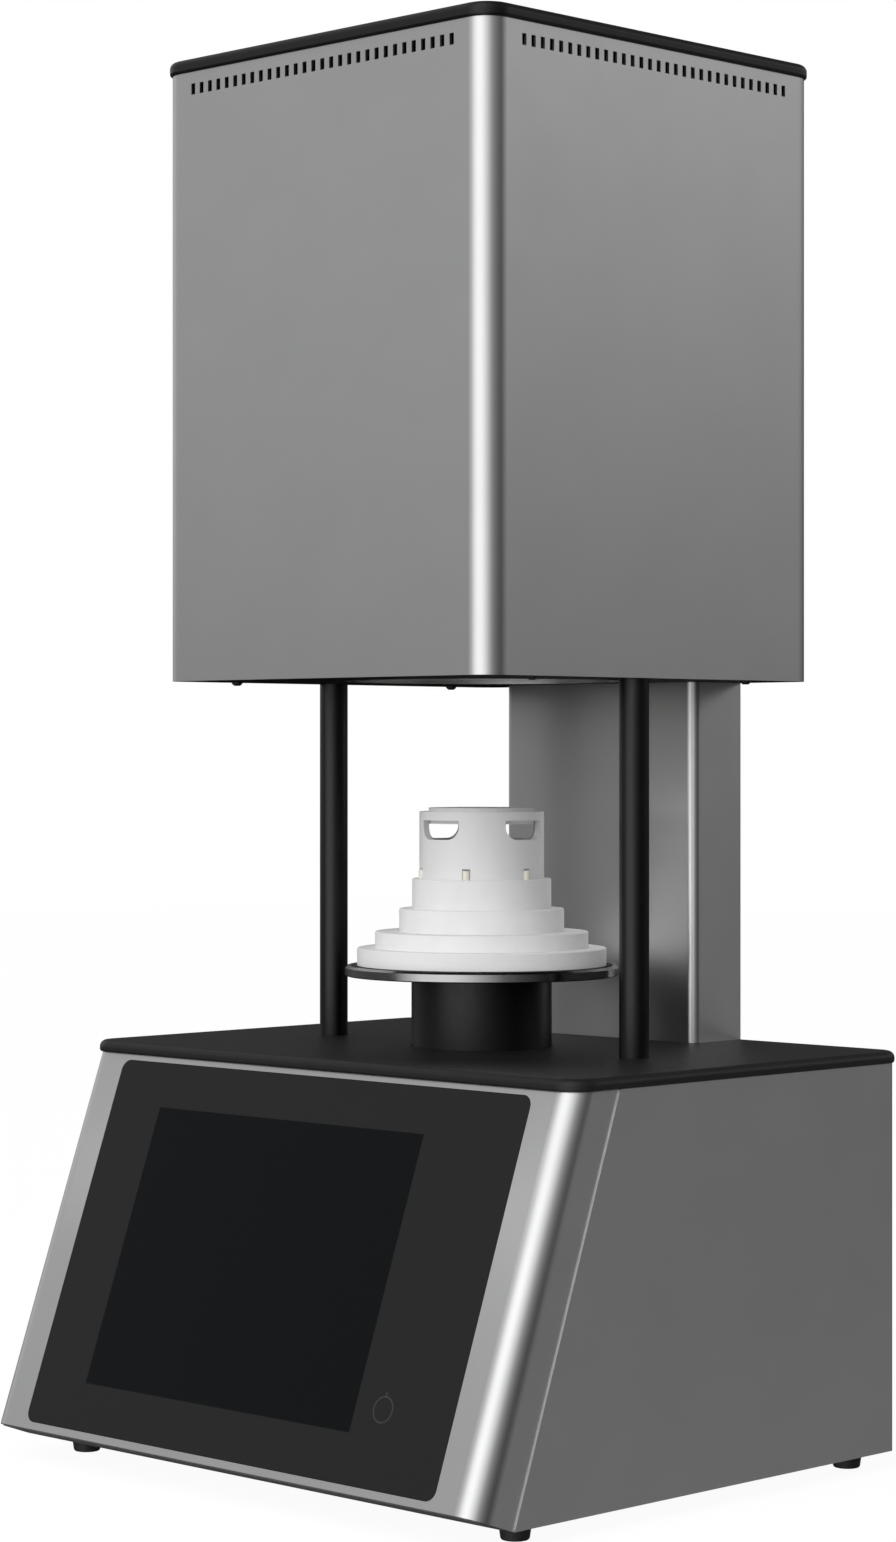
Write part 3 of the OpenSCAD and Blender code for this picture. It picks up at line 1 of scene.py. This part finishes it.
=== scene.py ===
"""Looks of a bottom-loading dental furnace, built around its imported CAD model. Metres."""

import math

import bmesh
import bpy
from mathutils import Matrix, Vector


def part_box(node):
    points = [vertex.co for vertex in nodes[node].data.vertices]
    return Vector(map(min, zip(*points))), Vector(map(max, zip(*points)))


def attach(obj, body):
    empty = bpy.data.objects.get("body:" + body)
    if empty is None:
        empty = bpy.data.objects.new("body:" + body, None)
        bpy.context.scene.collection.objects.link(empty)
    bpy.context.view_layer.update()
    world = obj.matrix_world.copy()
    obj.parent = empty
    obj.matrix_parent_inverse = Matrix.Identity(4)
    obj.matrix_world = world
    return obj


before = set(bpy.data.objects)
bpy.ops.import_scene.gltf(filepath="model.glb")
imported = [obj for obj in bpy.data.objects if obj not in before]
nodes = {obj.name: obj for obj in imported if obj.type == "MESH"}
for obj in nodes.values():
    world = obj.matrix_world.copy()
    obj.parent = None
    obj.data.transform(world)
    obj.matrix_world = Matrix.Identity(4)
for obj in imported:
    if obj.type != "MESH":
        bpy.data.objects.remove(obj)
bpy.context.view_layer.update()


# Places on the object, read from the frame

SLANT = math.radians(20)
PLATE_LIP = 0.0018
PLATE_LOW, PLATE_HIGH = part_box("top_plate")
FRONT_TOP_Y = PLATE_LOW.y + PLATE_LIP
FRONT_TOP_Z = PLATE_LOW.z
LIFT_AXIS_Y = (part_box("lift_disc")[0].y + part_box("lift_disc")[1].y) / 2


def on_front(x, down, out=0.0):
    """The point x across and down along the slanted front, out from its face."""
    y = FRONT_TOP_Y - down * math.sin(SLANT) - out * math.cos(SLANT)
    z = FRONT_TOP_Z - down * math.cos(SLANT) + out * math.sin(SLANT)
    return Vector((x, y, z))


# Node helpers

# Where the middle part of a noise lies, for a tone and for a roughness
TONE_SPAN = (0.35, 0.65)
ROUGH_SPAN = (0.3, 0.7)


def maths(tree, operation, a, b=None):
    """A maths node. Each of a and b is a number or an output."""
    node = tree.nodes.new("ShaderNodeMath")
    node.operation = operation
    for socket, value in zip(node.inputs, (a, b)):
        if isinstance(value, (int, float)):
            socket.default_value = value
        elif value is not None:
            tree.links.new(value, socket)
    return node.outputs["Value"]


class Surface:
    """A Principled material with the few nodes that the surfaces below share."""

    def __init__(self, name, colour, roughness, metallic=0.0):
        self.material = bpy.data.materials.new(name)
        self.material.use_nodes = True
        self.tree = self.material.node_tree
        self.shader = self.tree.nodes["Principled BSDF"]
        self.set("Base Color", (*colour, 1.0))
        self.set("Roughness", roughness)
        self.set("Metallic", metallic)
        self.where = self.tree.nodes.new("ShaderNodeTexCoord").outputs["Object"]

    def set(self, socket, value):
        self.shader.inputs[socket].default_value = value
        return self

    def link(self, source, target):
        self.tree.links.new(source, target)

    def noise(self, size, detail=3.0, stretch=(1.0, 1.0, 1.0)):
        """Noise whose spots are about size metres wide."""
        mapping = self.tree.nodes.new("ShaderNodeMapping")
        mapping.inputs["Scale"].default_value = stretch
        self.link(self.where, mapping.inputs["Vector"])
        node = self.tree.nodes.new("ShaderNodeTexNoise")
        node.inputs["Scale"].default_value = 1.0 / size
        node.inputs["Detail"].default_value = detail
        self.link(mapping.outputs["Vector"], node.inputs["Vector"])
        return node.outputs["Fac"]

    def spots(self, size):
        """Cells about size metres wide, dark at their middles."""
        node = self.tree.nodes.new("ShaderNodeTexVoronoi")
        node.inputs["Scale"].default_value = 1.0 / size
        self.link(self.where, node.inputs["Vector"])
        return node.outputs["Distance"]

    def ramp(self, source, low, high, out_low, out_high):
        node = self.tree.nodes.new("ShaderNodeMapRange")
        node.inputs["From Min"].default_value = low
        node.inputs["From Max"].default_value = high
        node.inputs["To Min"].default_value = out_low
        node.inputs["To Max"].default_value = out_high
        self.link(source, node.inputs["Value"])
        return node.outputs["Result"]

    def maths(self, operation, a, b=None):
        return maths(self.tree, operation, a, b)

    def blend(self, factor, colour_a, colour_b):
        node = self.tree.nodes.new("ShaderNodeMix")
        node.data_type = "RGBA"
        self.link(factor, node.inputs["Factor"])
        sockets = [s for s in node.inputs if s.type == "RGBA"]
        sockets[0].default_value = (*colour_a, 1.0)
        sockets[1].default_value = (*colour_b, 1.0)
        return [s for s in node.outputs if s.type == "RGBA"][0]

    def vary_colour(self, factor, colour_a, colour_b):
        self.link(self.blend(factor, colour_a, colour_b), self.shader.inputs["Base Color"])
        return self

    def vary_roughness(self, factor, low, high):
        self.link(self.ramp(factor, *ROUGH_SPAN, low, high), self.shader.inputs["Roughness"])
        return self

    def bump(self, height, strength, distance):
        node = self.tree.nodes.new("ShaderNodeBump")
        node.inputs["Strength"].default_value = strength
        node.inputs["Distance"].default_value = distance
        self.link(height, node.inputs["Height"])
        self.link(node.outputs["Normal"], self.shader.inputs["Normal"])
        return self


def scaled(colour, factor):
    return tuple(min(1.0, c * factor) for c in colour)


def mottled(surface, colour, size, spread):
    """Slow variation of a colour by plus or minus spread."""
    tone = surface.ramp(surface.noise(size), *TONE_SPAN, 0.0, 1.0)
    return surface.vary_colour(tone, scaled(colour, 1 - spread), scaled(colour, 1 + spread))


# Materials, one function for each kind of surface


def casing_silver():
    """Fine satin sheet, brushed level, so that it blurs reflections up and down."""
    colour = (0.50, 0.502, 0.505)
    s = Surface("casing_silver", colour, 0.34, metallic=0.98)
    s.set("Anisotropic", 0.6)
    s.set("Anisotropic Rotation", 0.25)
    mottled(s, colour, 0.05, 0.012)
    s.vary_roughness(s.noise(0.02), 0.33, 0.35)
    return s.bump(s.noise(0.0009, detail=2.0), 0.03, 0.00002).material


def cut_edge_highlight():
    """Bare sheet metal where the casing is cut, brighter than the casing as a painted highlight for
    the light that the edge catches.
    """
    # Brighter than the casing silver: partly bare cut metal, partly a painted highlight.
    colour = (0.66, 0.66, 0.67)
    s = Surface("cut_edge_highlight", colour, 0.45, metallic=0.9)
    mottled(s, colour, 0.004, 0.03)
    return s.vary_roughness(s.noise(0.003), 0.42, 0.48).material


def black_coat(name, level, roughness, specular):
    """Black powder coat of one grey level, with a fine bump."""
    colour = (level, level, level)
    s = Surface(name, colour, roughness)
    s.set("Specular IOR Level", specular)
    mottled(s, colour, 0.03, 0.08)
    s.vary_roughness(s.noise(0.004), roughness - 0.03, roughness + 0.03)
    return s.bump(s.noise(0.0011, detail=2.0), 0.12, 0.00006).material


def plate_black():
    return black_coat("plate_black", 0.008, 0.46, 0.27)


def cap_black():
    return black_coat("cap_black", 0.003, 0.38, 0.27)


def post_black():
    return black_coat("post_black", 0.001, 0.34, 0.34)


def pedestal_black():
    return black_coat("pedestal_black", 0.0015, 0.36, 0.30)


def floor_black():
    return black_coat("floor_black", 0.003, 0.6, 0.08)


def polished_steel():
    colour = (0.31, 0.31, 0.31)
    s = Surface("polished_steel", colour, 0.17, metallic=1.0)
    mottled(s, colour, 0.012, 0.03)
    s.vary_roughness(s.noise(0.003, stretch=(1.0, 1.0, 8.0)), 0.14, 0.20)
    return s.bump(s.noise(0.0008, stretch=(0.3, 0.3, 6.0)), 0.04, 0.00003).material


def bright_steel():
    colour = (0.62, 0.62, 0.62)
    s = Surface("bright_steel", colour, 0.28, metallic=1.0)
    mottled(s, colour, 0.01, 0.04)
    s.vary_roughness(s.noise(0.004), 0.22, 0.34)
    return s.bump(s.noise(0.001), 0.05, 0.00004).material


def chromed():
    colour = (0.78, 0.78, 0.79)
    s = Surface("chromed", colour, 0.08, metallic=1.0)
    mottled(s, colour, 0.02, 0.02)
    return s.vary_roughness(s.noise(0.006), 0.06, 0.12).material


# Bump of the lead screw: a wave node makes 20 radians a unit at scale 1
THREAD_PITCH = 0.0025
WAVE_RADIANS = 20


def screw_thread():
    """Rolled thread of the lead screw, as rings in the bump."""
    colour = (0.60, 0.60, 0.61)
    s = Surface("screw_thread", colour, 0.22, metallic=1.0)
    mottled(s, colour, 0.01, 0.04)
    wave = s.tree.nodes.new("ShaderNodeTexWave")
    wave.bands_direction = "Z"
    wave.inputs["Scale"].default_value = 2 * math.pi / THREAD_PITCH / WAVE_RADIANS
    s.link(s.where, wave.inputs["Vector"])
    return s.bump(wave.outputs["Fac"], 0.7, 0.0006).material


def screw_black():
    """Blackened steel screws."""
    colour = (0.03, 0.03, 0.032)
    s = Surface("screw_black", colour, 0.42, metallic=0.7)
    mottled(s, colour, 0.003, 0.1)
    return s.vary_roughness(s.noise(0.002), 0.36, 0.5).material


def cast_aluminium():
    colour = (0.56, 0.56, 0.57)
    s = Surface("cast_aluminium", colour, 0.42, metallic=1.0)
    mottled(s, colour, 0.008, 0.05)
    s.vary_roughness(s.noise(0.003), 0.36, 0.5)
    return s.bump(s.noise(0.0012), 0.1, 0.00008).material


def tray_grey():
    colour = (0.11, 0.11, 0.112)
    s = Surface("tray_grey", colour, 0.5)
    mottled(s, colour, 0.03, 0.06)
    return s.bump(s.noise(0.001), 0.1, 0.00006).material


def zinc_sheet():
    """Galvanised sheet with its large crystal spangle."""
    colour = (0.46, 0.47, 0.48)
    s = Surface("zinc_sheet", colour, 0.38, metallic=1.0)
    tone = s.ramp(s.spots(0.009), 0.1, 0.8, 0.0, 1.0)
    s.vary_colour(tone, scaled(colour, 0.88), scaled(colour, 1.1))
    return s.vary_roughness(s.noise(0.006), 0.32, 0.46).material


def bronze():
    colour = (0.58, 0.38, 0.16)
    s = Surface("bronze", colour, 0.3, metallic=1.0)
    mottled(s, colour, 0.006, 0.08)
    return s.vary_roughness(s.noise(0.003), 0.24, 0.38).material


def copper_winding():
    """Lacquered wire wound through the ring core."""
    colour = (0.55, 0.26, 0.10)
    s = Surface("copper_winding", colour, 0.26, metallic=1.0)
    mottled(s, colour, 0.006, 0.10)
    s.set("Coat Weight", 0.4)
    return s.bump(s.noise(0.0014, stretch=(1.0, 1.0, 0.15)), 0.5, 0.0004).material


def board_green():
    colour = (0.02, 0.16, 0.07)
    s = Surface("board_green", colour, 0.38)
    traces = s.ramp(s.spots(0.006), 0.30, 0.34, 0.0, 1.0)
    s.vary_colour(traces, (0.05, 0.26, 0.12), colour)
    return s.bump(traces, 0.2, 0.00005).material


def moulded_black():
    colour = (0.02, 0.02, 0.02)
    s = Surface("moulded_black", colour, 0.45)
    mottled(s, colour, 0.01, 0.1)
    s.vary_roughness(s.noise(0.003), 0.40, 0.50)
    return s.bump(s.noise(0.0007, detail=1.0), 0.2, 0.00005).material


def rubber():
    colour = (0.012, 0.012, 0.012)
    s = Surface("rubber", colour, 0.7)
    mottled(s, colour, 0.004, 0.15)
    return s.bump(s.noise(0.0006), 0.3, 0.00006).material


def fibre_board(name, colour):
    """Vacuum-formed ceramic fibre: chalky, with faint pits."""
    s = Surface(name, colour, 0.85)
    mottled(s, colour, 0.012, 0.012)
    s.set("Specular IOR Level", 0.25)
    return s.bump(s.noise(0.0016, detail=6.0), 0.12, 0.00012).material


def plug_fibre():
    return fibre_board("plug_fibre", (0.82, 0.82, 0.82))


def chamber_fibre():
    return fibre_board("chamber_fibre", (0.80, 0.79, 0.76))


def dense_ceramic(name, colour, roughness):
    """Fired ceramic with a slight gloss."""
    s = Surface(name, colour, roughness)
    mottled(s, colour, 0.01, 0.012)
    s.vary_roughness(s.noise(0.004), roughness - 0.05, roughness + 0.05)
    return s.bump(s.noise(0.001), 0.06, 0.00005).material


def crucible_ceramic():
    return dense_ceramic("crucible_ceramic", (0.80, 0.80, 0.80), 0.55)


def pin_ceramic():
    return dense_ceramic("pin_ceramic", (0.82, 0.80, 0.71), 0.45)


def seat_fibre():
    colour = (0.010, 0.010, 0.010)
    s = Surface("seat_fibre", colour, 0.75)
    mottled(s, colour, 0.004, 0.2)
    return s.bump(s.noise(0.0008), 0.4, 0.0001).material


def element_metal():
    colour = (0.055, 0.055, 0.06)
    s = Surface("element_metal", colour, 0.4, metallic=0.6)
    mottled(s, colour, 0.01, 0.15)
    return s.vary_roughness(s.noise(0.004), 0.32, 0.5).material


# Clear area of the glass, by its middle on the slanted front
SCREEN_X = -0.0145
SCREEN_DOWN = 0.1082
SCREEN_W = 0.211
SCREEN_H = 0.1584
SCREEN_EDGE = 0.00015
PRINT_GREY = (0.0183, 0.0183, 0.0186)
SCREEN_DARK = (0.0028, 0.0039, 0.0046)


def front_glass():
    """Glass printed grey from behind, with a clear area over the display."""
    s = Surface("front_glass", PRINT_GREY, 0.32)
    s.set("Specular IOR Level", 0.06)
    xyz = s.tree.nodes.new("ShaderNodeSeparateXYZ")
    s.link(s.where, xyz.inputs["Vector"])
    centre = on_front(SCREEN_X, SCREEN_DOWN)

    def inside(axis, middle, half):
        off = s.maths("ABSOLUTE", s.maths("SUBTRACT", xyz.outputs[axis], middle))
        return s.ramp(off, half - SCREEN_EDGE, half + SCREEN_EDGE, 1.0, 0.0)

    clear = s.maths(
        "MULTIPLY",
        inside("X", centre.x, SCREEN_W / 2),
        inside("Z", centre.z, SCREEN_H / 2 * math.cos(SLANT)),
    )
    s.vary_colour(clear, PRINT_GREY, SCREEN_DARK)
    return s.bump(s.noise(0.0008), 0.02, 0.00002).material


def display_dark():
    colour = (0.006, 0.007, 0.008)
    s = Surface("display_dark", colour, 0.2)
    mottled(s, colour, 0.02, 0.05)
    return s.vary_roughness(s.noise(0.01), 0.17, 0.24).material


def mark_grey():
    colour = (0.040, 0.040, 0.041)
    s = Surface("mark_grey", colour, 0.4)
    mottled(s, colour, 0.002, 0.05)
    return s.set("Specular IOR Level", 0.16).material


# The nodes that each finish goes on
FINISHES = {
    casing_silver: ["base_shell", "front_cover", "column_cover", "column_back", "housing_shell"],
    plate_black: ["top_plate"],
    cap_black: ["housing_cap"],
    floor_black: ["housing_floor"],
    post_black: ["post_left", "post_right"],
    pedestal_black: ["pedestal_tube"],
    polished_steel: ["lift_disc", "mouth_ring"],
    bright_steel: [
        "foot_screws", "post_tie_rods", "screw_bearing", "fan_guard", "network_socket", "data_socket",
    ],
    screw_black: ["casing_screws"],
    chromed: ["guide_rods", "linear_bearings"],
    screw_thread: ["lead_screw"],
    cast_aluminium: ["carriage", "guide_bush", "screw_pulley", "motor_pulley"],
    tray_grey: ["base_tray", "lift_motor"],
    zinc_sheet: ["motor_bracket", "column_frame", "display_frame", "inner_casing"],
    bronze: ["lift_nut"],
    copper_winding: ["transformer"],
    board_green: ["control_board"],
    moulded_black: ["mains_module", "fuse_drawer", "mains_rocker", "fan_frame", "fan_rotor"],
    rubber: ["feet", "drive_belt"],
    seat_fibre: ["plug_seat"],
    plug_fibre: ["plug_base", "plug_body"],
    crucible_ceramic: ["crucible", "crucible_lid"],
    pin_ceramic: ["centring_pins", "terminal_clamps", "thermocouple"],
    chamber_fibre: [
        "mouth_board_1", "mouth_board_2", "mouth_board_3", "mouth_board_4",
        "chamber_wall", "chamber_roof",
    ],
    element_metal: ["heating_elements"],
    front_glass: ["glass_panel"],
    display_dark: ["display_module"],
}


def dress(obj, material):
    obj.data.materials.clear()
    obj.data.materials.append(material)


for make, names in FINISHES.items():
    finish_material = make()
    for node_name in names:
        dress(nodes[node_name], finish_material)


def add_object(name, mesh, material):
    """A new object from a bmesh, dressed in a material."""
    data = bpy.data.meshes.new(name)
    mesh.to_mesh(data)
    mesh.free()
    obj = bpy.data.objects.new(name, data)
    bpy.context.collection.objects.link(obj)
    dress(obj, material)
    return obj


# Touch key printed on the glass: a ring with a short stem on top

KEY_X = 0.111
KEY_DOWN = 0.173
KEY_RING_R = 0.0067
KEY_STROKE = 0.00085
KEY_STEM = (0.0061, 0.0091)
KEY_SEGMENTS = 96
PRINT_OUT = 0.00004


def key_mark():
    mesh = bmesh.new()
    inner, outer = [], []
    for i in range(KEY_SEGMENTS):
        turn = 2 * math.pi * i / KEY_SEGMENTS
        for row, r in ((inner, KEY_RING_R - KEY_STROKE / 2), (outer, KEY_RING_R + KEY_STROKE / 2)):
            x, down = KEY_X + r * math.sin(turn), KEY_DOWN - r * math.cos(turn)
            row.append(mesh.verts.new(on_front(x, down, PRINT_OUT)))
    for i in range(KEY_SEGMENTS):
        j = (i + 1) % KEY_SEGMENTS
        mesh.faces.new((inner[i], inner[j], outer[j], outer[i]))
    low, high = KEY_STEM
    half = KEY_STROKE / 2
    stem = ((-half, low), (half, low), (half, high), (-half, high))
    mesh.faces.new([mesh.verts.new(on_front(KEY_X + x, KEY_DOWN - up, PRINT_OUT)) for x, up in stem])
    bmesh.ops.recalc_face_normals(mesh, faces=mesh.faces)
    bmesh.ops.solidify(mesh, geom=mesh.faces[:], thickness=PRINT_OUT / 2)
    mark = add_object("key_mark", mesh, mark_grey())
    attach(mark, "furnace")


key_mark()


# Bright cut edge of the base shell, which shows as a fine line beside the front cover. Its brighter
# metal is partly bare cut sheet and partly a painted highlight for the light that the cover's rear
# edge catches. The strip runs between two distances from the middle plane, and lies in front of the
# shell's edge.

SEAM_IN = 0.1906
SEAM_OUT = 0.1915
SEAM_GAP = 0.00032
SEAM_BACK = 0.00006
SEAM_FRONT = 0.00022
SEAM_FOOT = 0.001
SEAM_HEAD = 0.0005
NEARLY = 0.0001


def seam_highlight():
    """Two thin strips in the gap between the shell's slanted edge and the cover's rear edge, brighter
    than the casing as a painted highlight along the seam.
    """
    low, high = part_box("front_cover")
    wing = [v.co for v in nodes["front_cover"].data.vertices if v.co.x > SEAM_IN]
    top_y = max(v.y for v in wing if v.z > high.z - NEARLY)
    mesh = bmesh.new()
    for side in (-1, 1):
        ring = []
        for out in (SEAM_BACK, SEAM_FRONT):
            for z in (low.z + SEAM_FOOT, high.z - SEAM_HEAD):
                y = top_y + (z - high.z) * math.tan(SLANT) + SEAM_GAP - out / math.cos(SLANT)
                ring.append([mesh.verts.new((side * x, y, z)) for x in (SEAM_IN, SEAM_OUT)])
        back_low, back_high, front_low, front_high = ring
        round_it = (front_low, front_high, back_high, back_low, front_low)
        for a, b in zip(round_it, round_it[1:]):
            mesh.faces.new((a[0], a[1], b[1], b[0]))
        for i in (0, 1):
            mesh.faces.new((front_low[i], back_low[i], back_high[i], front_high[i]))
    bmesh.ops.recalc_face_normals(mesh, faces=mesh.faces)
    # The strip's brighter metal is a painted highlight for the light that the cover's rear edge
    # catches.
    edge = add_object("seam_highlight", mesh, cut_edge_highlight())
    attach(edge, "furnace")


seam_highlight()


# Camera, as solved from the photograph's edges

CAMERA_TURN = math.radians(44.824)
CAMERA_PLACE = (1.4526, -1.4886 + LIFT_AXIS_Y, 0.3953)
CAMERA_SENSOR = 36.0
CAMERA_LENS = 85.68
CAMERA_SHIFT_Y = -0.00895
CAMERA_REACH = 50.0


def add_camera():
    data = bpy.data.cameras.new("camera")
    data.sensor_width = CAMERA_SENSOR
    data.lens = CAMERA_LENS
    data.shift_y = CAMERA_SHIFT_Y
    data.clip_end = CAMERA_REACH
    camera = bpy.data.objects.new("camera", data)
    camera.location = CAMERA_PLACE
    camera.rotation_euler = (math.pi / 2, 0.0, CAMERA_TURN)
    bpy.context.collection.objects.link(camera)
    bpy.context.scene.camera = camera


# Floor: half its side, its tone for light that it throws back, and for the camera its shade in
# the light and the white that it glows by itself

FLOOR_HALF = 6.0
FLOOR_TONE = 0.8
FLOOR_SHADE = 0.08
FLOOR_WHITE = 0.95


def add_floor():
    """Pale floor: white to the camera with a soft shadow. Reflections see the room past it."""
    data = bpy.data.meshes.new("floor")
    h = FLOOR_HALF
    data.from_pydata([(-h, -h, 0), (h, -h, 0), (h, h, 0), (-h, h, 0)], [], [(0, 1, 2, 3)])
    floor = bpy.data.objects.new("floor", data)
    bpy.context.collection.objects.link(floor)
    s = Surface("floor", (FLOOR_TONE,) * 3, 0.9)
    s.set("Specular IOR Level", 0.0)
    s.set("Emission Color", (1.0, 1.0, 1.0, 1.0))
    path = s.tree.nodes.new("ShaderNodeLightPath")
    s.vary_colour(path.outputs["Is Camera Ray"], (FLOOR_TONE,) * 3, (FLOOR_SHADE,) * 3)
    white = s.maths("MULTIPLY", path.outputs["Is Camera Ray"], FLOOR_WHITE)
    s.link(white, s.shader.inputs["Emission Strength"])
    s.link(s.maths("SUBTRACT", 1.0, path.outputs["Is Glossy Ray"]), s.shader.inputs["Alpha"])
    dress(floor, s.material)


# Studio lights: brightness by compass angle, in degrees from +X, times brightness by the sine
# of the elevation. KEY is the broad light before the front, on the camera's left. ROOM is the
# room around. WALL is a pale wall on the right, and UPPER a soft light high on the right.

KEY = [
    (-180, 0.0), (-124, 0.0), (-116, 0.75), (-106, 1.35), (-97, 1.90), (-80, 2.05), (-68, 1.95),
    (-55, 1.42), (-44, 0.92), (-28, 0.28), (-12, 0.09), (8, 0.0), (180, 0.0),
]
KEY_RISE = [(-1.0, 0.6), (-0.3, 0.9), (0.0, 1.0), (0.2, 0.97), (0.45, 1.15), (0.8, 1.1), (1.0, 0.8)]
ROOM = [
    (-180, 0.65), (-165, 0.56), (-150, 0.50), (-138, 0.50), (-126, 0.50), (-114, 0.30), (-99, 0.0),
    (-48, 0.0), (-28, 0.07), (-10, 0.11), (20, 0.10), (42, 0.02), (70, 0.05), (140, 0.10),
    (153, 0.18), (165, 0.50), (180, 0.65),
]
ROOM_RISE = [
    (-1.0, 0.2), (-0.3, 0.10), (-0.08, 0.10), (-0.02, 0.37), (0.02, 1.06), (0.06, 1.80), (0.14, 1.32),
    (0.25, 1.20), (0.45, 1.3), (0.8, 1.1), (1.0, 0.8),
]
WALL = [(-180, 0.0), (26, 0.0), (38, 0.90), (55, 1.0), (90, 0.4), (120, 0.0), (180, 0.0)]
WALL_RISE = [
    (-1.0, 0.20), (-0.4, 0.33), (-0.26, 0.42), (-0.19, 0.26), (-0.13, 0.05), (-0.02, 0.0),
    (0.05, 0.06), (0.12, 0.25), (0.18, 0.66), (0.28, 1.75), (0.36, 1.3), (0.46, 0.3), (1.0, 0.1),
]
UPPER = [(-180, 0.0), (-60, 0.0), (-38, 0.50), (-10, 0.25), (15, 0.10), (35, 0.0), (180, 0.0)]
UPPER_RISE = [(-1.0, 0.0), (0.12, 0.0), (0.32, 1.0), (0.6, 1.0), (1.0, 0.5)]
# Each light's two ramps and its share on matt surfaces
LIGHTS = [
    (KEY, KEY_RISE, 0.82), (ROOM, ROOM_RISE, 0.75), (WALL, WALL_RISE, 0.3), (UPPER, UPPER_RISE, 0.25),
]
# The brightness that a ramp's white stands for, since its colours end at 1
RAMP_TOP = 2.5


def ramp_node(tree, source, stops, low, high):
    """A colour ramp through stops (place, brightness), which returns brightness / RAMP_TOP."""
    node = tree.nodes.new("ShaderNodeValToRGB")
    elements = node.color_ramp.elements
    while len(elements) < len(stops):
        elements.new(0.5)
    for element, (place, grey) in zip(elements, stops):
        element.position = (place - low) / (high - low)
        level = grey / RAMP_TOP
        element.color = (level, level, level, 1.0)
    tree.links.new(source, node.inputs["Fac"])
    return node.outputs["Color"]


def add_world():
    """White to the camera, and a soft studio to everything else."""
    world = bpy.data.worlds.new("studio")
    bpy.context.scene.world = world
    world.use_nodes = True
    tree = world.node_tree
    tree.nodes.clear()
    new, link = tree.nodes.new, tree.links.new

    xyz = new("ShaderNodeSeparateXYZ")
    link(new("ShaderNodeTexCoord").outputs["Generated"], xyz.inputs["Vector"])
    turn = maths(tree, "ARCTAN2", xyz.outputs["Y"], xyz.outputs["X"])
    turn = maths(tree, "ADD", maths(tree, "MULTIPLY", turn, 0.5 / math.pi), 0.5)
    rise = maths(tree, "ADD", maths(tree, "MULTIPLY", xyz.outputs["Z"], 0.5), 0.5)
    path = new("ShaderNodeLightPath")
    diffuse = path.outputs["Is Diffuse Ray"]
    level = 0.0
    for by_turn, by_rise, on_matt in LIGHTS:
        turn_level = ramp_node(tree, turn, by_turn, -180, 180)
        rise_level = ramp_node(tree, rise, by_rise, -1, 1)
        light = maths(tree, "MULTIPLY", turn_level, rise_level)
        share = maths(tree, "ADD", 1.0, maths(tree, "MULTIPLY", diffuse, on_matt - 1.0))
        level = maths(tree, "ADD", level, maths(tree, "MULTIPLY", light, share))
    level = maths(tree, "MULTIPLY", level, RAMP_TOP ** 2)

    studio, white = new("ShaderNodeBackground"), new("ShaderNodeBackground")
    studio.inputs["Color"].default_value = (1.0, 1.0, 1.0, 1.0)
    white.inputs["Color"].default_value = (1.0, 1.0, 1.0, 1.0)
    link(level, studio.inputs["Strength"])
    mix = new("ShaderNodeMixShader")
    link(path.outputs["Is Camera Ray"], mix.inputs["Fac"])
    link(studio.outputs["Background"], mix.inputs[1])
    link(white.outputs["Background"], mix.inputs[2])
    link(mix.outputs["Shader"], new("ShaderNodeOutputWorld").inputs["Surface"])


# Two soft lamps for the matt surfaces alone, since metal doesn't mirror them. One stands beside
# the camera; the other is the light that the column's bright front throws back on the plug.

FILL_TURN = math.radians(-52)
FILL_DISTANCE = 2.0
FILL_RISE = 1.35
FILL_SIZE = 0.9
FILL_POWER = 15.0
BOUNCE_X = 0.02
BOUNCE_GAP = 0.004
BOUNCE_SIZE = (0.10, 0.15)
BOUNCE_POWER = 0.045


def add_lamp(name, place, target, size, power):
    data = bpy.data.lights.new(name, "AREA")
    data.energy = power
    data.shape = "RECTANGLE"
    data.size, data.size_y = size
    lamp = bpy.data.objects.new(name, data)
    lamp.location = place
    lamp.rotation_euler = (target - place).to_track_quat("-Z", "Y").to_euler()
    lamp.visible_glossy = False
    lamp.visible_camera = False
    bpy.context.collection.objects.link(lamp)


def add_lamps():
    plug = sum(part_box("plug_body"), Vector()) / 2
    towards = Vector((math.cos(FILL_TURN), math.sin(FILL_TURN), 0.0))
    place = plug + FILL_DISTANCE * towards + Vector((0.0, 0.0, FILL_RISE))
    add_lamp("fill_lamp", place, plug, (FILL_SIZE, FILL_SIZE), FILL_POWER)
    place = Vector((BOUNCE_X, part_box("column_cover")[0].y - BOUNCE_GAP, plug.z))
    add_lamp("bounce_lamp", place, place - Vector((0.0, 1.0, 0.0)), BOUNCE_SIZE, BOUNCE_POWER)


bpy.context.scene.view_settings.view_transform = "Standard"
add_camera()
add_floor()
add_world()
add_lamps()
